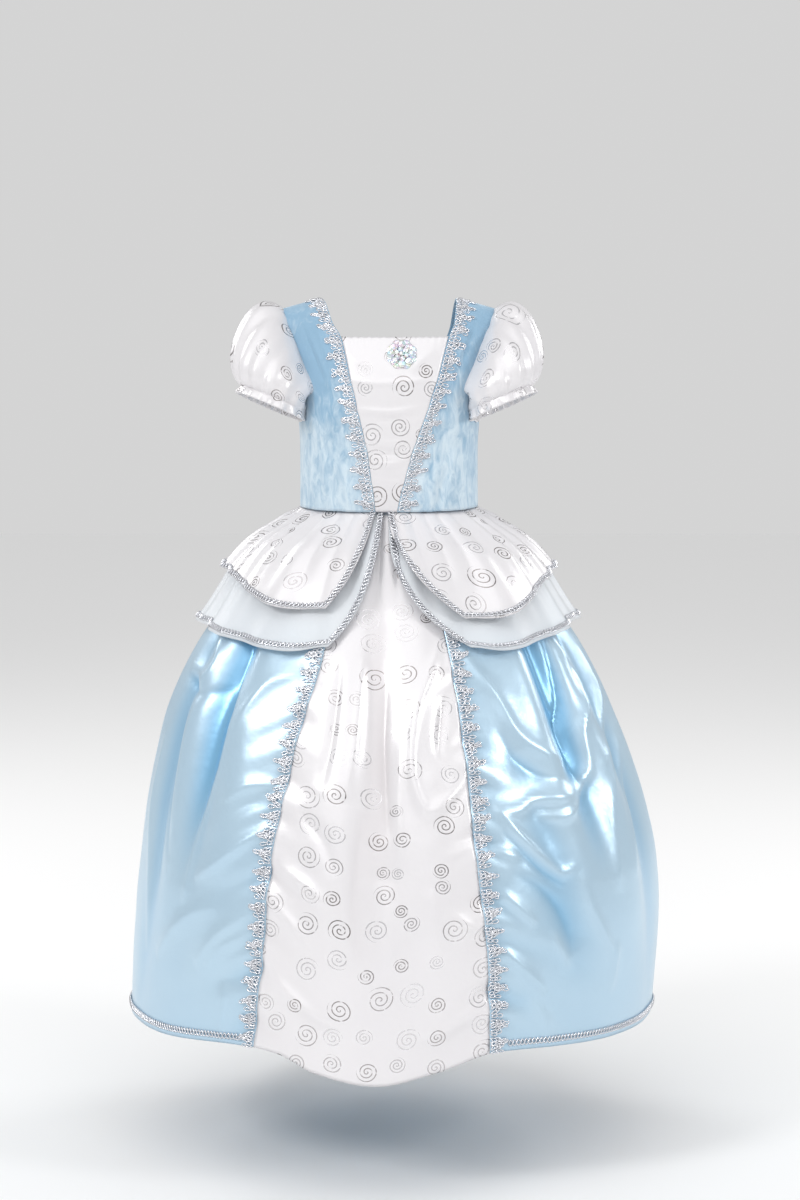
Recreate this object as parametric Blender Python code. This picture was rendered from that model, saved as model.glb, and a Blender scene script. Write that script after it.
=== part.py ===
"""Child's princess costume dress, worn form with no wearer.

Metres, +Z up. The origin is the middle of the shoulder line, where the wearer carries the dress.
The front faces -Y. "left" and "right" are the wearer's own: left is +X, right is -X.
Every cloth piece is a thin wall between an outer sheet of points and the same sheet moved inwards.
"""

import math
from collections import namedtuple

import bmesh
import bpy
import numpy as np

# Driving dimensions
CLOTH = 0.0012                 # wall of satin and organza
VELVET = 0.0016                # wall of the velvet bodice
SEAM_GAP = 0.0003              # between two pieces that a seam joins
TRIM_LIFT = 0.0005             # from a panel to the trim sewn on it
BODICE_BRAID_LIFT = 0.0009     # more on the bodice, whose panel bends more under its braid
BRAID_THICK = 0.0018           # looped silver braid
BRAID_WIDTH = 0.018            # from the seam to a loop's tip
BRAID_NECK = 0.011             # from the seam to the dip between two loops
SKIRT_SCALLOP = 0.020          # length of one loop cluster on the skirt
BODICE_SCALLOP = 0.015
EDGING_THICK = 0.0012          # narrow silver edging
EDGING_WIDTH = 0.007
WAIST = -0.199                 # height of the waist seam
LAST_STRIP = 0.016             # height of the skirt's lowest strip of facets
HEM_EDGING = (0.32, 0.68)      # the hem edging's upper and lower side, as shares of that strip

GATHERS = 40                   # gathers round the waist seam
GATHER_STEP = math.radians(360 / GATHERS / 2)  # half a gather: one crest or one valley
GATHER_DEPTH = 0.0016
GATHER_LENGTH = 0.100
FRONT_STEPS = 4                # half-gathers from the front centre to the front seam
SIDE_STEPS = 20                # half-gathers from the front centre to the side seam
HALF_STEPS = 40                # half-gathers in half the waist

# Torso: the general form under the bodice
CHEST = -0.098                 # height of the chest line, level with the underarm
TORSO_POWER = 2.3              # superellipse power of every torso section
SHOULDER_SLOPE = 0.28          # fall of the shoulder line for each metre out
SHOULDER_INNER = 0.070         # where the shoulder line is at its highest
SHOULDER_TOP = 0.006

# Puff sleeve
CUFF_CENTRE = (0.1080, -0.038, -0.0900)
CUFF_RADIUS = (0.0330, 0.0350)  # across and front to back
CUFF_OUT = {"left": 0.0015, "right": 0.006}   # the right arm is held a little further out
CUFF_LEAN_IN = math.radians(23.0)    # the inner side hangs lower
CUFF_LEAN_BACK = math.radians(8.0)   # the back hangs lower
CUFF_FRILL = 0.009             # frill below the elastic
SLEEVE_GATHER = 0.0013         # depth of the small gathers in the puff
SLEEVE_WALL = 0.0014
SLEEVE_TWIST = 0.55            # radians that the underarm is carried back, because the arm is held forward
SLEEVE_ROWS = [0.0, 0.10, 0.26, 0.46, 0.66, 0.84, 1.0]   # shares of the way from the armhole to the elastic
SLEEVE_CLEAR = 0.036           # the sleeve stays this share of the torso's size outside it

Torso = namedtuple("Torso", "level half_width half_depth")
TORSO = [
    # level -1 is the waist seam, 0 the chest line and 1 the shoulder line
    Torso(-1.0, 0.0875, 0.0755),
    Torso(-0.5, 0.0872, 0.0760),
    Torso(0.0, 0.0895, 0.0775),
    Torso(0.5, 0.1060, 0.0770),
    Torso(1.0, 0.1230, 0.0770),
]

TOP = 0.02                     # a height above the shoulder line means the shoulder line itself
SIDE = 1.0                     # an edge_out of SIDE lies on the side seam

FrontRow = namedtuple("FrontRow", "seam_height seam_out edge_height edge_out")
FRONT_ROWS = [
    # the side front, row by row: its inner edge by the stomacher and strap, its outer edge by side and armhole
    FrontRow(WAIST, 0.0105, WAIST, SIDE),
    FrontRow(-0.183, 0.0130, -0.183, SIDE),
    FrontRow(-0.165, 0.0167, -0.167, SIDE),
    FrontRow(-0.147, 0.0203, -0.150, SIDE),
    FrontRow(-0.129, 0.0250, -0.129, SIDE),
    FrontRow(-0.113, 0.0298, -0.108, SIDE),
    FrontRow(-0.100, 0.0337, -0.088, SIDE),
    FrontRow(-0.090, 0.0362, -0.085, 0.0785),
    FrontRow(-0.079, 0.0393, -0.080, 0.0735),
    FrontRow(-0.067, 0.0428, -0.071, 0.0765),
    FrontRow(-0.054, 0.0458, -0.060, 0.0820),
    FrontRow(-0.041, 0.0490, -0.048, 0.0870),
    FrontRow(-0.029, 0.0525, -0.034, 0.0925),
    FrontRow(-0.014, 0.0600, -0.018, 0.1000),
    FrontRow(TOP, 0.0670, TOP, 0.1060),
]
ARMHOLE_ROW_FRONT = 6          # the armhole starts at this row
NECK_ROW_FRONT = 12            # the stomacher's top edge meets this row

Turn = namedtuple("Turn", "height shift")
BODICE_TURN = [Turn(WAIST, -0.0025), Turn(-0.029, 0.0060), Turn(0.006, 0.0)]   # the worn seams' shift to +X

BackRow = namedtuple("BackRow", "neck_height neck_out edge_height edge_out")
BACK_ROWS = [
    BackRow(WAIST, 0.0450, WAIST, SIDE),
    BackRow(-0.174, 0.0460, -0.175, SIDE),
    BackRow(-0.150, 0.0475, -0.150, SIDE),
    BackRow(-0.126, 0.0490, -0.126, SIDE),
    BackRow(-0.104, 0.0500, -0.088, SIDE),
    BackRow(-0.092, 0.0508, -0.085, 0.0825),
    BackRow(-0.079, 0.0515, -0.079, 0.0795),
    BackRow(-0.066, 0.0525, -0.070, 0.0815),
    BackRow(-0.052, 0.0540, -0.058, 0.0860),
    BackRow(-0.037, 0.0570, -0.042, 0.0920),
    BackRow(-0.020, 0.0620, -0.024, 0.0990),
    BackRow(TOP, 0.0670, TOP, 0.1060),
]
ARMHOLE_ROW_BACK = 4
NECK_ROW_BACK = 9              # the back's neckline runs across at this row

Skirt = namedtuple("Skirt", "height half_width half_depth shift")
SKIRT = [
    # the bell's half sizes, and how far its middle lies to +X
    Skirt(WAIST, 0.0805, 0.0685, 0.0000),
    Skirt(-0.212, 0.0945, 0.0815, 0.0000),
    Skirt(-0.232, 0.1180, 0.1020, 0.0000),
    Skirt(-0.262, 0.1430, 0.1240, 0.0000),
    Skirt(-0.300, 0.1660, 0.1430, 0.0000),
    Skirt(-0.336, 0.1890, 0.1640, 0.0000),
    Skirt(-0.397, 0.2170, 0.1920, 0.0005),
    Skirt(-0.448, 0.2335, 0.2100, 0.0040),
    Skirt(-0.500, 0.2470, 0.2250, 0.0072),
    Skirt(-0.552, 0.2565, 0.2360, 0.0095),
    Skirt(-0.603, 0.2620, 0.2430, 0.0085),
    Skirt(-0.656, 0.2640, 0.2470, 0.0055),
    Skirt(-0.730, 0.2645, 0.2490, 0.0010),
]
SKIRT_STRIPS = [0.0, 0.024, 0.067, 0.134, 0.23, 0.35, 0.50, 0.67, 0.84]   # shares of the skirt's height

FrontSeam = namedtuple("FrontSeam", "height centre spread")
FRONT_SEAM = [
    # the white panel's middle and half width, in degrees round the skirt
    FrontSeam(WAIST, 0.0, 18.0),
    FrontSeam(-0.330, -0.7, 18.9),
    FrontSeam(-0.400, -2.1, 20.6),
    FrontSeam(-0.445, -3.5, 21.5),
    FrontSeam(-0.540, -5.6, 23.1),
    FrontSeam(-0.629, -4.9, 24.2),
    FrontSeam(-0.730, -4.5, 25.6),
]

Hem = namedtuple("Hem", "turn height")
HEM = [
    Hem(-180, -0.712), Hem(-95, -0.712), Hem(-60, -0.708), Hem(-31, -0.699), Hem(-24, -0.703), Hem(-16, -0.718),
    Hem(-3, -0.729), Hem(10, -0.716), Hem(23, -0.700), Hem(55, -0.707), Hem(95, -0.712), Hem(180, -0.712),
]

Fold = namedtuple("Fold", "turn width depth drift top foot")
FOLDS = [
    # a ridge (depth above 0) or a trough (below 0): degrees round, metres, and the heights between which it shows
    Fold(-49, 6.0, -0.016, -5, -0.27, -0.56),
    Fold(-59, 7.0, 0.006, -4, -0.30, -0.60),
    Fold(-38, 8.0, 0.007, -6, -0.28, -0.70),
    Fold(-70, 6.0, -0.007, -3, -0.28, -0.74),
    Fold(50, 6.0, -0.017, 2, -0.27, -0.55),
    Fold(41, 7.0, 0.007, 4, -0.28, -0.60),
    Fold(61, 7.0, 0.006, 3, -0.30, -0.66),
    Fold(72, 6.0, -0.006, 5, -0.28, -0.74),
    Fold(34, 6.0, -0.006, 10, -0.42, -0.66),
    Fold(-12, 6.0, 0.006, -3, -0.26, -0.74),
    Fold(-3, 5.0, -0.006, -2, -0.26, -0.62),
    Fold(8, 6.0, 0.006, 1, -0.26, -0.70),
    Fold(-90, 7.0, 0.006, -3, -0.30, -0.76),
    Fold(-108, 7.0, -0.010, 2, -0.27, -0.74),
    Fold(-126, 7.0, 0.008, 3, -0.28, -0.76),
    Fold(-144, 7.0, -0.012, -2, -0.27, -0.68),
    Fold(-162, 7.0, 0.008, 2, -0.28, -0.76),
    Fold(179, 7.0, -0.011, 0, -0.27, -0.76),
    Fold(161, 7.0, 0.008, -3, -0.28, -0.74),
    Fold(143, 7.0, -0.012, 2, -0.27, -0.70),
    Fold(125, 7.0, 0.008, 2, -0.28, -0.76),
    Fold(107, 7.0, -0.010, -3, -0.27, -0.76),
    Fold(89, 7.0, 0.006, 2, -0.30, -0.76),
]

Flounce = namedtuple("Flounce", "side waist_step corner_turn edge_curve front_drop side_drop waves phase")
LOWER_LEFT = Flounce(1, 0, 25.0, 2.3, 0.130, 0.114, 6.0, 0.35)
LOWER_RIGHT = Flounce(-1, 1, 18.0, 2.4, 0.128, 0.116, 6.0, 0.40)
UPPER_LEFT = Flounce(1, 0, 24.0, 1.5, 0.101, 0.061, 5.5, 0.10)
UPPER_RIGHT = Flounce(-1, 2, 20.0, 1.9, 0.090, 0.060, 5.5, 0.15)
DROP_TURNS = (20.0, 85.0)      # degrees round the skirt where the front drop starts to shorten, and where it ends
WAVE_DEPTH = 0.011
CORNER_ROUND = 0.05            # how much of its drop a flounce loses at its rounded front corner
LOWER_ROWS = [0.0, 0.104, 0.29, 0.583, 0.945, 1.0]
UPPER_ROWS = [0.0, 0.152, 0.425, 0.90, 1.0]
LOWER_STEP = 0.0026            # from the skirt to the lower flounce at the waist seam, wall and gap
UPPER_STEP = 0.0044            # from the lower flounce to the upper, with the lower one's edging between
LOWER_STAND = 0.0050           # how far the lower flounce stands off the skirt at its hem
UPPER_STAND = 0.0045           # and the upper off the lower

ROSETTE_RADIUS = 0.0165
ROSETTE_HIGH = 0.0045
ROSETTE_PETALS = 8
ROSETTE_BELOW_NECK = 0.0175
ROSETTE_SHIFT = 0.003

Finish = namedtuple("Finish", "colour roughness metallic")
WHITE_SATIN = Finish((0.90, 0.89, 0.90), 0.35, 0.0)
WHITE_ORGANZA = Finish((0.88, 0.90, 0.93), 0.45, 0.0)
BLUE_SATIN = Finish((0.50, 0.72, 0.86), 0.30, 0.0)
BLUE_VELVET = Finish((0.45, 0.62, 0.74), 0.70, 0.0)
SILVER = Finish((0.75, 0.76, 0.78), 0.30, 0.9)
CRYSTAL = Finish((0.85, 0.88, 0.95), 0.10, 0.3)


def smooth(table, column, at):
    """A column of a table read at any value of its first column, as a curve with no overshoot."""
    known = sorted((row[0], getattr(row, column)) for row in table)
    x = np.array([k[0] for k in known], float)
    y = np.array([k[1] for k in known], float)
    step = np.diff(x)
    rise = np.diff(y) / step
    slope = np.zeros(len(x))
    slope[0], slope[-1] = rise[0], rise[-1]
    for i in range(1, len(x) - 1):
        if rise[i - 1] * rise[i] > 0:
            before, after = 2 * step[i] + step[i - 1], step[i] + 2 * step[i - 1]
            slope[i] = (before + after) / (before / rise[i - 1] + after / rise[i])
    at = np.clip(np.asarray(at, float), x[0], x[-1])
    i = np.clip(np.searchsorted(x, at, side="right") - 1, 0, len(step) - 1)
    t = (at - x[i]) / step[i]
    return (
        (1 + 2 * t) * (1 - t) ** 2 * y[i]
        + t * (1 - t) ** 2 * step[i] * slope[i]
        + t * t * (3 - 2 * t) * y[i + 1]
        + t * t * (t - 1) * step[i] * slope[i + 1]
    )


def ease(low, high, at):
    """0 below low, 1 above high, and an S-curve between."""
    t = np.clip((np.asarray(at, float) - low) / (high - low), 0, 1)
    return t * t * (3 - 2 * t)


def normals_of(surface, first, second, step_first, step_second, outward):
    """Unit normals of a surface by small steps along its two directions, on the side of outward."""
    along = surface(first + step_first, second) - surface(first - step_first, second)
    across = surface(first, second + step_second) - surface(first, second - step_second)
    normal = np.cross(along, across)
    normal /= np.maximum(np.linalg.norm(normal, axis=-1, keepdims=True), 1e-12)
    side = np.sign((normal * outward).sum(-1, keepdims=True))
    return normal * np.where(side == 0, 1, side)


def on_facets(grid, row, column):
    """The point of a grid's own facets at a fractional row and column. Each cell is cut from (0, 0) to (1, 1)."""
    i = min(int(row), grid.shape[0] - 2)
    j = min(int(column), grid.shape[1] - 2)
    down, over = row - i, column - j
    near, far = grid[i, j], grid[i + 1, j + 1]
    if down >= over:
        corner = grid[i + 1, j]
        return near + down * (corner - near) + over * (far - corner)
    corner = grid[i, j + 1]
    return near + over * (corner - near) + down * (far - corner)


def finish_material(name, finish):
    material = bpy.data.materials.get(name) or bpy.data.materials.new(name)
    material.use_nodes = True
    shader = material.node_tree.nodes["Principled BSDF"]
    shader.inputs["Base Color"].default_value = (*finish.colour, 1.0)
    shader.inputs["Roughness"].default_value = finish.roughness
    shader.inputs["Metallic"].default_value = finish.metallic
    return material


def wall(name, outer, inner, finish, cells=None, closed=False):
    """A closed solid between two grids of points. cells says which cells are cloth; closed joins the last column
    to the first. The free edges get a rim."""
    rows, columns = outer.shape[:2]
    across = columns if closed else columns - 1
    if cells is None:
        cells = np.ones((rows - 1, across), bool)

    def is_cloth(i, j):
        if closed:
            j %= across
        return 0 <= i < rows - 1 and 0 <= j < across and cells[i, j]

    mesh = bmesh.new()
    made = {}

    def vertex(side, i, j):
        key = (side, i, j % columns if closed else j)
        if key not in made:
            made[key] = mesh.verts.new((outer, inner)[side][key[1], key[2]])
        return made[key]

    def facet(*corners):
        mesh.faces.new([vertex(*corner) for corner in corners])

    for i in range(rows - 1):
        for j in range(across):
            if not is_cloth(i, j):
                continue
            facet((0, i, j), (0, i + 1, j), (0, i + 1, j + 1))
            facet((0, i, j), (0, i + 1, j + 1), (0, i, j + 1))
            facet((1, i, j), (1, i + 1, j + 1), (1, i + 1, j))
            facet((1, i, j), (1, i, j + 1), (1, i + 1, j + 1))
            rims = [
                (is_cloth(i - 1, j), (i, j + 1), (i, j)),
                (is_cloth(i + 1, j), (i + 1, j), (i + 1, j + 1)),
                (is_cloth(i, j - 1), (i, j), (i + 1, j)),
                (is_cloth(i, j + 1), (i + 1, j + 1), (i, j + 1)),
            ]
            for covered, start, end in rims:
                if not covered:
                    facet((0, *end), (0, *start), (1, *start))
                    facet((0, *end), (1, *start), (1, *end))
    bmesh.ops.recalc_face_normals(mesh, faces=mesh.faces)
    data = bpy.data.meshes.new(name)
    mesh.to_mesh(data)
    mesh.free()
    data.shade_smooth()
    data.set_sharp_from_angle(angle=math.radians(50))
    obj = bpy.data.objects.new(name, data)
    bpy.context.scene.collection.objects.link(obj)
    data.materials.append(finish)
    return obj


def cloth_panel(name, points, normals, thickness, finish, cells=None, closed=False):
    wall(name, points, points - normals * thickness, finish, cells, closed)


def trim(name, points, normals, thickness, finish, cells=None, lift_by=TRIM_LIFT):
    wall(name, points + normals * (lift_by + thickness), points + normals * lift_by, finish, cells)


def shoulder_line(x):
    """Height of the shoulder line: level over the neck, falling beyond it."""
    return SHOULDER_TOP - SHOULDER_SLOPE * np.maximum(np.abs(x) - SHOULDER_INNER, 0)


def torso(out, level):
    """A point of the bodice's form. out runs over the section from the front centre (0) through the side (1)
    to the back centre (2); below 0 it is the wearer's right half."""
    out, level = np.broadcast_arrays(np.asarray(out, float), np.asarray(level, float))
    half_width = smooth(TORSO, "half_width", level)
    half_depth = smooth(TORSO, "half_depth", level)
    half_depth = half_depth * np.where(level > 0, np.cos(level * math.pi / 2), 1.0)
    angle = out * math.pi / 2
    bend = 2 / TORSO_POWER
    x = half_width * np.sign(np.sin(angle)) * np.abs(np.sin(angle)) ** bend
    y = -half_depth * np.sign(np.cos(angle)) * np.abs(np.cos(angle)) ** bend
    rise = (shoulder_line(x) - CHEST) * np.sin(level * math.pi / 2)
    z = CHEST + np.where(level > 0, rise, level * (CHEST - WAIST))
    return np.stack([x, y, z], axis=-1)


def level_at(x, height):
    """The level of the torso that passes through a height, x from the middle plane."""
    if height <= CHEST:
        return (height - CHEST) / (CHEST - WAIST)
    share = (height - CHEST) / (shoulder_line(x) - CHEST)
    return math.asin(min(share, 1.0)) / (math.pi / 2) * 0.999


def out_at(x, level):
    """The place round the torso's front where it is x from the middle plane."""
    half_width = smooth(TORSO, "half_width", level)
    share = np.clip(np.abs(x) / half_width, 0, 1)
    return np.sign(x) * np.arcsin(share ** (TORSO_POWER / 2)) / (math.pi / 2)


def torso_normals(out, level):
    points = torso(out, level)
    outward = points * np.array([1.0, 1.0, 0.0]) + np.array([0.0, 0.0, 0.02])
    level = np.clip(level, None, 0.9985)
    return normals_of(torso, out, level, 2e-4, 1e-3, outward)


def panel_places(rows, columns, inner_gap, sign, back):
    """Places (out, level) of a side front panel or half a back panel, from its inner edge to its outer edge.
    sign is 1 for the wearer's left and -1 for the right."""
    out = np.zeros((len(rows), columns + 1))
    level = np.zeros_like(out)
    share = np.linspace(0, 1, columns + 1)
    for i, (inner_height, inner_out, edge_height, edge_out) in enumerate(rows):
        if not back:
            inner_out = inner_out + sign * smooth(BODICE_TURN, "shift", inner_height) + inner_gap
        inner_level = level_at(inner_out, inner_height)
        edge_level = level_at(edge_out if edge_out < SIDE else 0.0, edge_height)
        inner = out_at(inner_out, inner_level)
        if edge_out == SIDE:
            edge = 1 - SEAM_GAP / 2 / smooth(TORSO, "half_depth", edge_level) / (math.pi / 2)
        else:
            edge = out_at(edge_out, edge_level)
        out[i] = inner + (edge - inner) * share
        level[i] = inner_level + (edge_level - inner_level) * share
    if back:
        out = 2 - out
    return out * sign, level


def bodice(velvet, satin, silver, crystal):
    """Stomacher, side fronts with their straps, back with its straps, braids and rosette. Returns the armhole
    edges of each side, front and back, from the underarm to the shoulder."""
    armholes = {}
    for side, sign in (("left", 1), ("right", -1)):
        out, level = panel_places(FRONT_ROWS, 7, SEAM_GAP / 2, sign, False)
        points, normals = torso(out, level), torso_normals(out, level)
        cloth_panel(f"bodice_front_{side}", points, normals, VELVET, velvet)
        armholes[side] = [points[ARMHOLE_ROW_FRONT:, -1]]
        braid(f"braid_bodice_{side}", points, normals, BODICE_SCALLOP, silver, 0, BODICE_BRAID_LIFT)

    back_points, back_normals, cells = back_panel()
    cloth_panel("bodice_back", back_points, back_normals, VELVET, velvet, cells)
    armholes["left"].append(back_points[ARMHOLE_ROW_BACK:, 0])
    armholes["right"].append(back_points[ARMHOLE_ROW_BACK:, -1])

    stomacher(satin, crystal)
    return armholes


def back_panel():
    """The back from side seam to side seam, cut out between its straps."""
    strap, middle = 5, 7
    out, level = panel_places(BACK_ROWS, strap, 0.0, 1, True)
    left_out, left_level = out[:, ::-1], level[:, ::-1]
    share = np.linspace(0, 1, middle + 1)[1:-1]
    inner_out, inner_level = left_out[:, -1:], left_level[:, -1:]
    middle_out = inner_out + 2 * (2 - inner_out) * share
    middle_level = np.repeat(inner_level, middle - 1, axis=1)
    right_out, right_level = 4 - left_out[:, ::-1], left_level[:, ::-1]
    out = np.concatenate([left_out, middle_out, right_out], axis=1)
    level = np.concatenate([left_level, middle_level, right_level], axis=1)
    cells = np.ones((len(BACK_ROWS) - 1, out.shape[1] - 1), bool)
    cells[NECK_ROW_BACK:, strap:strap + middle] = False
    return torso(out, level), torso_normals(out, level), cells


def stomacher(satin, crystal):
    """The white centre front between the two braided seams, and the rosette on it."""
    rows = FRONT_ROWS[: NECK_ROW_FRONT + 1]
    columns = 8
    out = np.zeros((len(rows), columns + 1))
    level = np.zeros_like(out)
    share = np.linspace(-1, 1, columns + 1)
    for i, row in enumerate(rows):
        shift = smooth(BODICE_TURN, "shift", row.seam_height)
        level[i] = level_at(row.seam_out, row.seam_height)
        left = out_at(row.seam_out + shift - SEAM_GAP / 2, level[i, 0])
        right = out_at(-(row.seam_out - shift - SEAM_GAP / 2), level[i, 0])
        out[i] = (left + right) / 2 + (left - right) / 2 * share
    points, normals = torso(out, level), torso_normals(out, level)
    cloth_panel("bodice_front_centre", points, normals, VELVET, satin)
    rosette(points, normals, crystal)


def braid(name, points, normals, scallop, silver, first_row, lift_by):
    """Looped braid along a panel's inner edge: a strip on the panel's own facets, scalloped on its free side."""
    lengths = np.linalg.norm(np.diff(points[:, 0], axis=0), axis=1)
    places = np.concatenate([[0], np.cumsum(lengths)])
    start, end = places[first_row], places[-1]
    count = max(2, 2 * round((end - start) / scallop)) + 1
    strip = np.zeros((count, 3, 3))
    lift = np.zeros_like(strip)
    for k, along in enumerate(np.linspace(start, end, count)):
        row = float(np.interp(along, places, np.arange(len(places))))
        edge_row = min(int(row), len(points) - 2)
        across = np.linalg.norm(np.diff(points[edge_row], axis=0), axis=1)
        reach = np.concatenate([[0], np.cumsum(across)])
        width = BRAID_WIDTH if k % 2 else BRAID_NECK
        for c, distance in enumerate((0.0002, BRAID_NECK * 0.6, width)):
            column = float(np.interp(distance, reach, np.arange(len(reach))))
            strip[k, c] = on_facets(points, row, column)
            lift[k, c] = on_facets(normals, row, column)
    lift /= np.linalg.norm(lift, axis=-1, keepdims=True)
    trim(name, strip, lift, BRAID_THICK, silver, lift_by=lift_by)


def rosette(points, normals, crystal):
    """Sequinned flower at the middle of the neckline, domed, with a scalloped edge."""
    middle = points.shape[1] // 2
    height = points[-1, middle, 2] - ROSETTE_BELOW_NECK
    heights = points[:, middle, 2]
    rings, spokes = 3, ROSETTE_PETALS * 2
    grid = np.zeros((rings, spokes, 3))
    lift = np.zeros_like(grid)
    rise = np.zeros((rings, spokes, 1))
    centre_x = float(np.interp(height, heights, points[:, middle, 0])) + ROSETTE_SHIFT
    for r, share in enumerate((1.0, 0.62, 0.16)):
        for s in range(spokes):
            angle = 2 * math.pi * s / spokes
            radius = ROSETTE_RADIUS * (share if r else (1.0 if s % 2 else 0.84))
            z = height + radius * math.sin(angle)
            x = centre_x + radius * math.cos(angle)
            row = float(np.interp(z, heights, np.arange(len(heights))))
            across = on_row(points, row)
            column = float(np.interp(x, across[:, 0], np.arange(len(across))))
            grid[r, s] = on_facets(points, row, column)
            lift[r, s] = on_facets(normals, row, column)
            rise[r, s] = ROSETTE_HIGH * (0.35, 0.75, 1.0)[r]
    lift /= np.linalg.norm(lift, axis=-1, keepdims=True)
    wall("rosette", grid + lift * (TRIM_LIFT + rise), grid + lift * TRIM_LIFT, crystal, closed=True)
    close_centre("rosette", rings, spokes)


def close_centre(name, rings, spokes):
    """Fills the small round hole that a ring of cells leaves in its middle, so the piece is one full disc."""
    data = bpy.data.objects[name].data
    mesh = bmesh.new()
    mesh.from_mesh(data)
    mesh.verts.ensure_lookup_table()
    hole = [f for f in mesh.faces if len({v for v in f.verts}) == 3 and is_bore(f, mesh, rings, spokes)]
    bmesh.ops.delete(mesh, geom=hole, context="FACES_ONLY")
    bmesh.ops.holes_fill(mesh, edges=[e for e in mesh.edges if e.is_boundary], sides=0)
    bmesh.ops.triangulate(mesh, faces=[f for f in mesh.faces if len(f.verts) > 3])
    bmesh.ops.recalc_face_normals(mesh, faces=mesh.faces)
    mesh.to_mesh(data)
    mesh.free()


def is_bore(face, mesh, rings, spokes):
    """Whether a facet is part of the small wall round the rosette's middle: its normal lies in the cloth."""
    centre = sum((v.co for v in mesh.verts), mesh.verts[0].co * 0) / len(mesh.verts)
    away = [(v.co - centre).length for v in face.verts]
    return max(away) < ROSETTE_RADIUS * 0.32 and abs(face.normal.y) < 0.5


def on_row(grid, row):
    """All the points of a grid's row at a fractional row number."""
    i = min(int(row), grid.shape[0] - 2)
    return grid[i] + (row - i) * (grid[i + 1] - grid[i])


def fold_depth(turn, height):
    """Ridges and troughs of the skirt at a place, as a distance outwards."""
    total = np.zeros(np.broadcast(turn, height).shape)
    for fold in FOLDS:
        down = np.clip((fold.top - height) / (fold.top - fold.foot), 0, 1)
        middle = fold.turn + fold.drift * down
        away = (np.degrees(turn) - middle + 180) % 360 - 180
        shown = np.sin(math.pi * np.clip(down, 0, 1) ** 0.7)
        total += fold.depth * shown * np.exp(-((away / fold.width) ** 2))
    return total


def gather_depth(turn, height):
    """Small gathers below the waist seam: crests and valleys in turn, uneven, fading as they go down."""
    fade = 1 - ease(0, GATHER_LENGTH, WAIST - height)
    uneven = 0.80 + 0.20 * np.sin(5 * turn + 0.6)
    return GATHER_DEPTH * uneven * fade * np.cos(GATHERS * turn)


def skirt_form(turn, height, out=0.0):
    """A point of the bell that the skirt's cloth follows, out beyond it."""
    half_width = smooth(SKIRT, "half_width", height) + out
    half_depth = smooth(SKIRT, "half_depth", height) + out
    x = smooth(SKIRT, "shift", height) + half_width * np.sin(turn)
    return np.stack([x, -half_depth * np.cos(turn), height + 0 * turn], axis=-1)


def skirt_surface(turn, height):
    out = fold_depth(turn, height) + gather_depth(turn, height)
    return skirt_form(turn, height, out)


def surface_normals(surface, turn, height):
    """Normals of the skirt, level along the waist seam so that no wall leans over it."""
    points = surface(turn, height)
    outward = points * np.array([1.0, 1.0, 0.0])
    normals = normals_of(surface, turn, height, GATHER_STEP, 0.004, outward)
    return level_first_row(normals)


def level_first_row(normals):
    normals[0, :, 2] = 0
    normals[0] /= np.linalg.norm(normals[0], axis=-1, keepdims=True)
    return normals


def seam_turn(height, sign):
    """Where a front seam of the skirt lies at a height, in radians round the skirt."""
    return np.radians(smooth(FRONT_SEAM, "centre", height) + sign * smooth(FRONT_SEAM, "spread", height))


def skirt_grid(start, end, columns):
    """Turns and heights of a skirt panel between two edges, each a function of height."""
    share = np.linspace(0, 1, columns + 1)
    strips = np.array(SKIRT_STRIPS)
    guess = WAIST + (smooth(HEM, "height", 0) - WAIST) * np.append(strips, 1.0)
    guess = np.append(guess[:-1], [guess[-1] + LAST_STRIP, guess[-1]])
    turn = start(guess)[:, None] + (end(guess) - start(guess))[:, None] * share
    hem = smooth(HEM, "height", np.degrees((turn[-1] + math.pi) % (2 * math.pi) - math.pi))
    body = WAIST + (hem + LAST_STRIP - WAIST) * strips[:, None]
    height = np.concatenate([body, [hem + LAST_STRIP], [hem]]) - SEAM_GAP
    return turn, height


def skirt(satin, blue, silver):
    """White front panel, two blue side fronts and a blue back, with the looped braids and the hem edging."""
    side_turn = SIDE_STEPS * GATHER_STEP

    def gap(height, sign):
        return sign * SEAM_GAP / 2 / smooth(SKIRT, "half_depth", height)

    panels = {
        "skirt_front": (
            lambda h: seam_turn(h, -1) + gap(h, 1), lambda h: seam_turn(h, 1) - gap(h, 1), 2 * FRONT_STEPS, satin),
        "skirt_side_left": (
            lambda h: seam_turn(h, 1) + gap(h, 1), lambda h: side_turn - gap(h, 1), SIDE_STEPS - FRONT_STEPS, blue),
        "skirt_side_right": (
            lambda h: seam_turn(h, -1) - gap(h, 1), lambda h: -side_turn + gap(h, 1), SIDE_STEPS - FRONT_STEPS, blue),
        "skirt_back": (
            lambda h: side_turn + gap(h, 1), lambda h: 2 * math.pi - side_turn - gap(h, 1),
            2 * (HALF_STEPS - SIDE_STEPS), blue),
    }
    for name, (start, end, columns, finish) in panels.items():
        turn, height = skirt_grid(start, end, columns)
        points = skirt_surface(turn, height)
        normals = surface_normals(skirt_surface, turn, height)
        cloth_panel(name, points, normals, CLOTH, finish)
        if name != "skirt_front":
            hem_edging(name.replace("skirt_", "edging_hem_"), points, normals, silver)
        if "side" in name:
            braid(name.replace("skirt_side", "braid_skirt"), points, normals, SKIRT_SCALLOP, silver, 4, TRIM_LIFT)


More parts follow.
